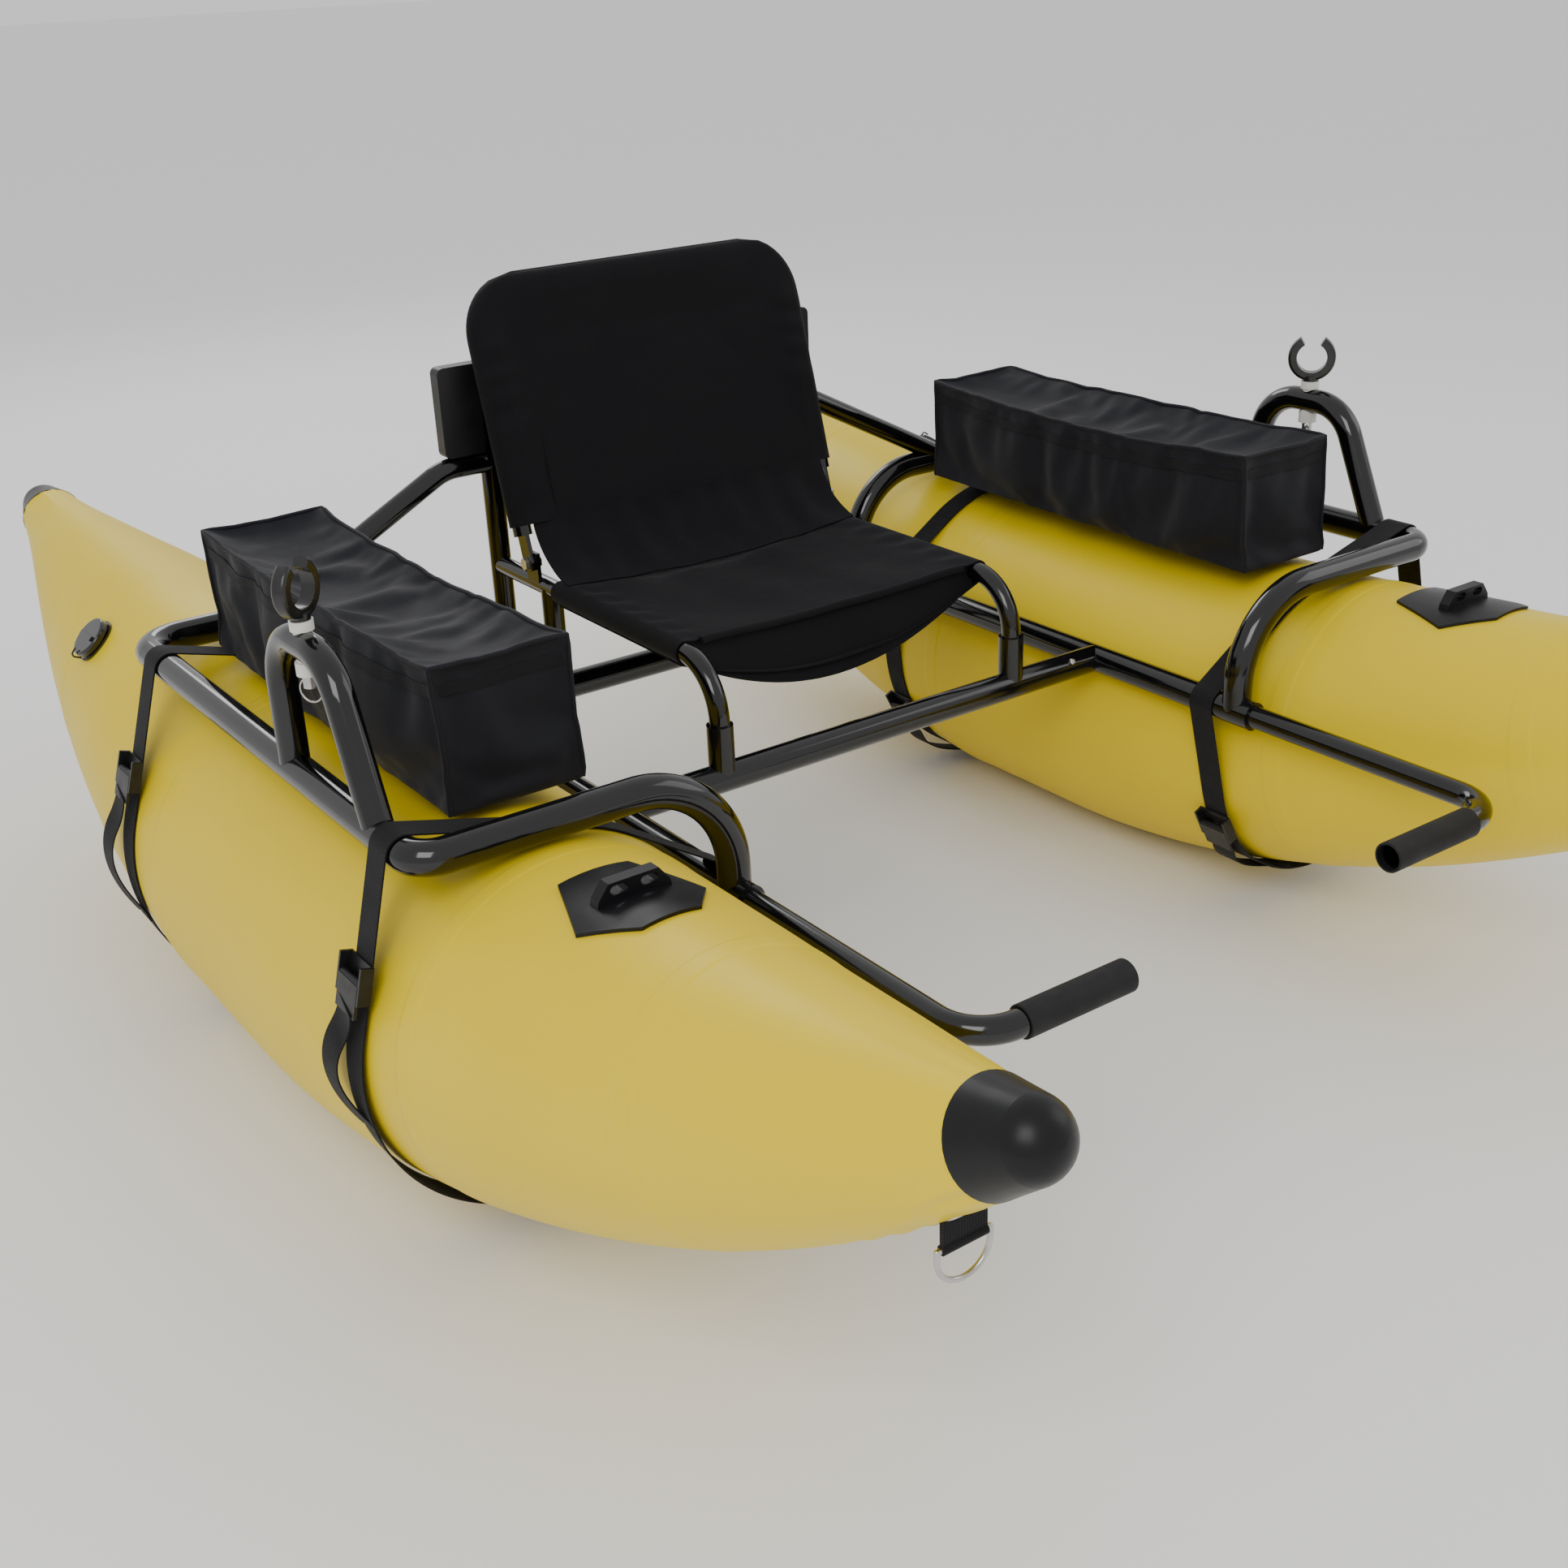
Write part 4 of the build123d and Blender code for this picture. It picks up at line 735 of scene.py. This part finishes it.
def makeFlap():
    # the cloth runs on from the seat up to the back, with a crease between them
    lean = boat["backLean"]
    seatEnd = Vector((0, seatLook["rear"] - 0.026, boat["seatZ"] + seatLook["wrap"] + 0.0022))
    crease = Vector((0, 0.1355, boat["seatZ"] + seatLook["wrap"] + 0.016))
    topEnd = Vector((0, boat["pivotY"] + 0.054 * math.sin(lean), boat["pivotZ"] + 0.054 * math.cos(lean)))
    topEnd += Vector((0, -0.0125 - 0.0016, -0.003))

    def place(u, v):
        t = 2 * v - 1
        a = seatEnd.lerp(crease, u)
        b = crease.lerp(topEnd, u)
        point = a.lerp(b, u)
        sag = (1 - t * t) * (seatLook["sag"] * (1 - u) - 0.002)
        ripple = 0.0026 * noise.noise(Vector((t * 5.5, u * 2.2, 6.4)))
        ripple += 0.0011 * math.sin(t * 27) * u * (1 - u) * 4
        return Vector((t * flapLook["half"], point.y - ripple, point.z - sag * (1 - u) + ripple))

    flap = wrappedGrid(flapLook["rows"], 96, place)
    applyModifier(flap, "SOLIDIFY", thickness=flapLook["thickness"], offset=0)
    flap.name = "seatBackFlap"
    flap.data.name = "seatBackFlap"
    bpy.ops.object.shade_smooth_by_angle(angle=math.radians(50))
    flap.data.materials.clear()
    flap.data.materials.append(finish["seatCloth"])
    flap.select_set(False)
    long = sum((Vector(place((i + 1) / 20, 0.5)) - Vector(place(i / 20, 0.5))).length for i in range(20))
    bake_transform(flap)


makeSling()
makeBackCover()
makeFlap()
print("seat made")


# ---- straps ----
strapLook = {"width": 0.032, "thickness": 0.0015, "frontY": -0.398, "rearY": 0.165}


def hullLoop(y, extra):
    # points of the tight loop round the pontoon and both rails, outboard positive
    lean = sectionRadius(y) * abs(math.sin(sectionTilt(y))) + 0.016
    circles = [(boat["pontoonX"], sectionHeight(e), sectionRadius(e) + extra) for e in (y - lean, y + lean)]
    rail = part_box("port_outer_rail")
    railZ = (rail[0].z + rail[1].z) / 2
    innerX = boat["innerRailX"]
    circles.append((boat["outerRailX"], railZ, boat["railRadius"] + extra))
    circles.append((innerX, boat["innerRailZ"], boat["railRadius"] + extra))
    points = []
    steps = 220
    for i in range(steps):
        angle = math.tau * i / steps
        n = Vector((math.cos(angle), math.sin(angle)))
        x, z, r = max(circles, key=lambda c: c[0] * n.x + c[1] * n.y + c[2])
        points.append((x + r * n.x, z + r * n.y, angle))
    return points


def makeStrap(side, sideName, endName, y):
    loop = hullLoop(y, boat["restGap"] + strapLook["thickness"] / 2)
    path = [(Vector((side * x, y, z)), Vector((side * math.cos(a), 0, math.sin(a)))) for x, z, a in loop]
    path.append(path[0])
    strap = ribbon(path, strapLook["width"], strapLook["thickness"])
    settle(strap, sideName + endName.title() + "Strap", "webbing")
    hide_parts(f"{sideName}_{endName}_strap")


tailLook = {"length": {"front": 0.135, "rear": 0.155}, "stand": 0.0045, "bow": 0.013, "drift": 0.026}


def makeTail(side, sideName, endName, y):
    # the loose end leaves the buckle, bows clear of the pontoon and comes to rest beside the strap
    low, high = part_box(f"{sideName}_{endName}_cam_lever")
    centre = (low + high) / 2
    height = sectionHeight(y)
    reach = math.hypot(centre.x - side * boat["pontoonX"], centre.z - height)
    begin = math.atan2(centre.z - height, side * (centre.x - side * boat["pontoonX"]))
    way = -1 if math.cos(begin) > 0 else 1
    length = tailLook["length"][endName]
    steps = 40
    path = []
    for i in range(steps + 1):
        f = i / steps
        angle = begin + way * (0.010 + f * length) / reach
        bulge = math.sin(math.pi * min(1.0, f * 1.05))
        settled = sectionRadius(y)
        lift = settled + tailLook["stand"] + tailLook["bow"] * bulge
        lift += (reach + 0.002 - settled - tailLook["stand"]) * (1 - min(1.0, f * 4)) ** 2
        over = Vector((math.cos(angle) * side, 0, math.sin(angle)))
        place = Vector((side * boat["pontoonX"], y + tailLook["drift"] * bulge * (0.6 + 0.4 * f), height))
        path.append((place + over * lift, over))
    tail = ribbon(path, strapLook["width"] * 0.94, strapLook["thickness"])
    bpy.ops.object.mode_set(mode="EDIT")
    bpy.ops.mesh.select_all(action="SELECT")
    bpy.ops.mesh.fill_holes(sides=0)
    bpy.ops.mesh.select_all(action="SELECT")
    bpy.ops.mesh.normals_make_consistent(inside=False)
    bpy.ops.object.mode_set(mode="OBJECT")
    bpy.ops.object.select_all(action="DESELECT")
    settle(tail, f"{sideName}{endName.title()}StrapTail", "webbing")


for side, sideName in ((1, "port"), (-1, "starboard")):
    for endName, strapY in (("front", strapLook["frontY"]), ("rear", strapLook["rearY"])):
        makeStrap(side, sideName, endName, strapY)
        makeTail(side, sideName, endName, strapY)
print("straps made")


# ---- floor, light and camera ----
stageLook = {"floor": (0.90, 0.90, 0.90), "sky": (1.0, 1.0, 1.0), "skyStrength": 0.85}


def makeStage():
    bpy.ops.mesh.primitive_plane_add(size=80, location=(0, 0, -0.0005))
    floor = bpy.context.object
    floor.name = "studioFloor"
    material = bpy.data.materials.new("paleFloor")
    material.use_nodes = True
    shader = material.node_tree.nodes["Principled BSDF"]
    shader.inputs["Base Color"].default_value = (*stageLook["floor"], 1)
    shader.inputs["Roughness"].default_value = 0.85
    floor.data.materials.append(material)
    world = bpy.context.scene.world or bpy.data.worlds.new("studio")
    bpy.context.scene.world = world
    world.use_nodes = True
    back = world.node_tree.nodes["Background"]
    back.inputs["Color"].default_value = (*stageLook["sky"], 1)
    back.inputs["Strength"].default_value = stageLook["skyStrength"]
    lamps = [("keyLamp", (-2.6, -2.4, 3.0), 2.0, 66), ("fillLamp", (3.2, -1.8, 2.4), 2.2, 20),
             ("rearLamp", (0.6, 3.4, 2.6), 1.6, 30)]
    for name, place, size, power in lamps:
        light = bpy.data.lights.new(name, "AREA")
        light.size = size
        light.energy = power
        lamp = bpy.data.objects.new(name, light)
        bpy.context.collection.objects.link(lamp)
        lamp.location = place
        lamp.rotation_euler = (Vector((0, -0.1, 0.25)) - Vector(place)).to_track_quat("-Z", "Y").to_euler()


def makeCamera():
    data = bpy.data.cameras.new("viewCamera")
    data.sensor_width = 36
    data.lens = 43.27
    camera = bpy.data.objects.new("viewCamera", data)
    bpy.context.collection.objects.link(camera)
    turn = Matrix.Rotation(-0.60457, 4, "Z") @ Matrix.Rotation(math.pi / 2 - 0.42410, 4, "X")
    turn = turn @ Matrix.Rotation(-0.04260, 4, "Z")
    camera.rotation_euler = turn.to_euler()
    camera.location = (-1.1678, -1.7277, 1.0869)
    bpy.context.scene.camera = camera


makeStage()
makeCamera()
print("stage made")
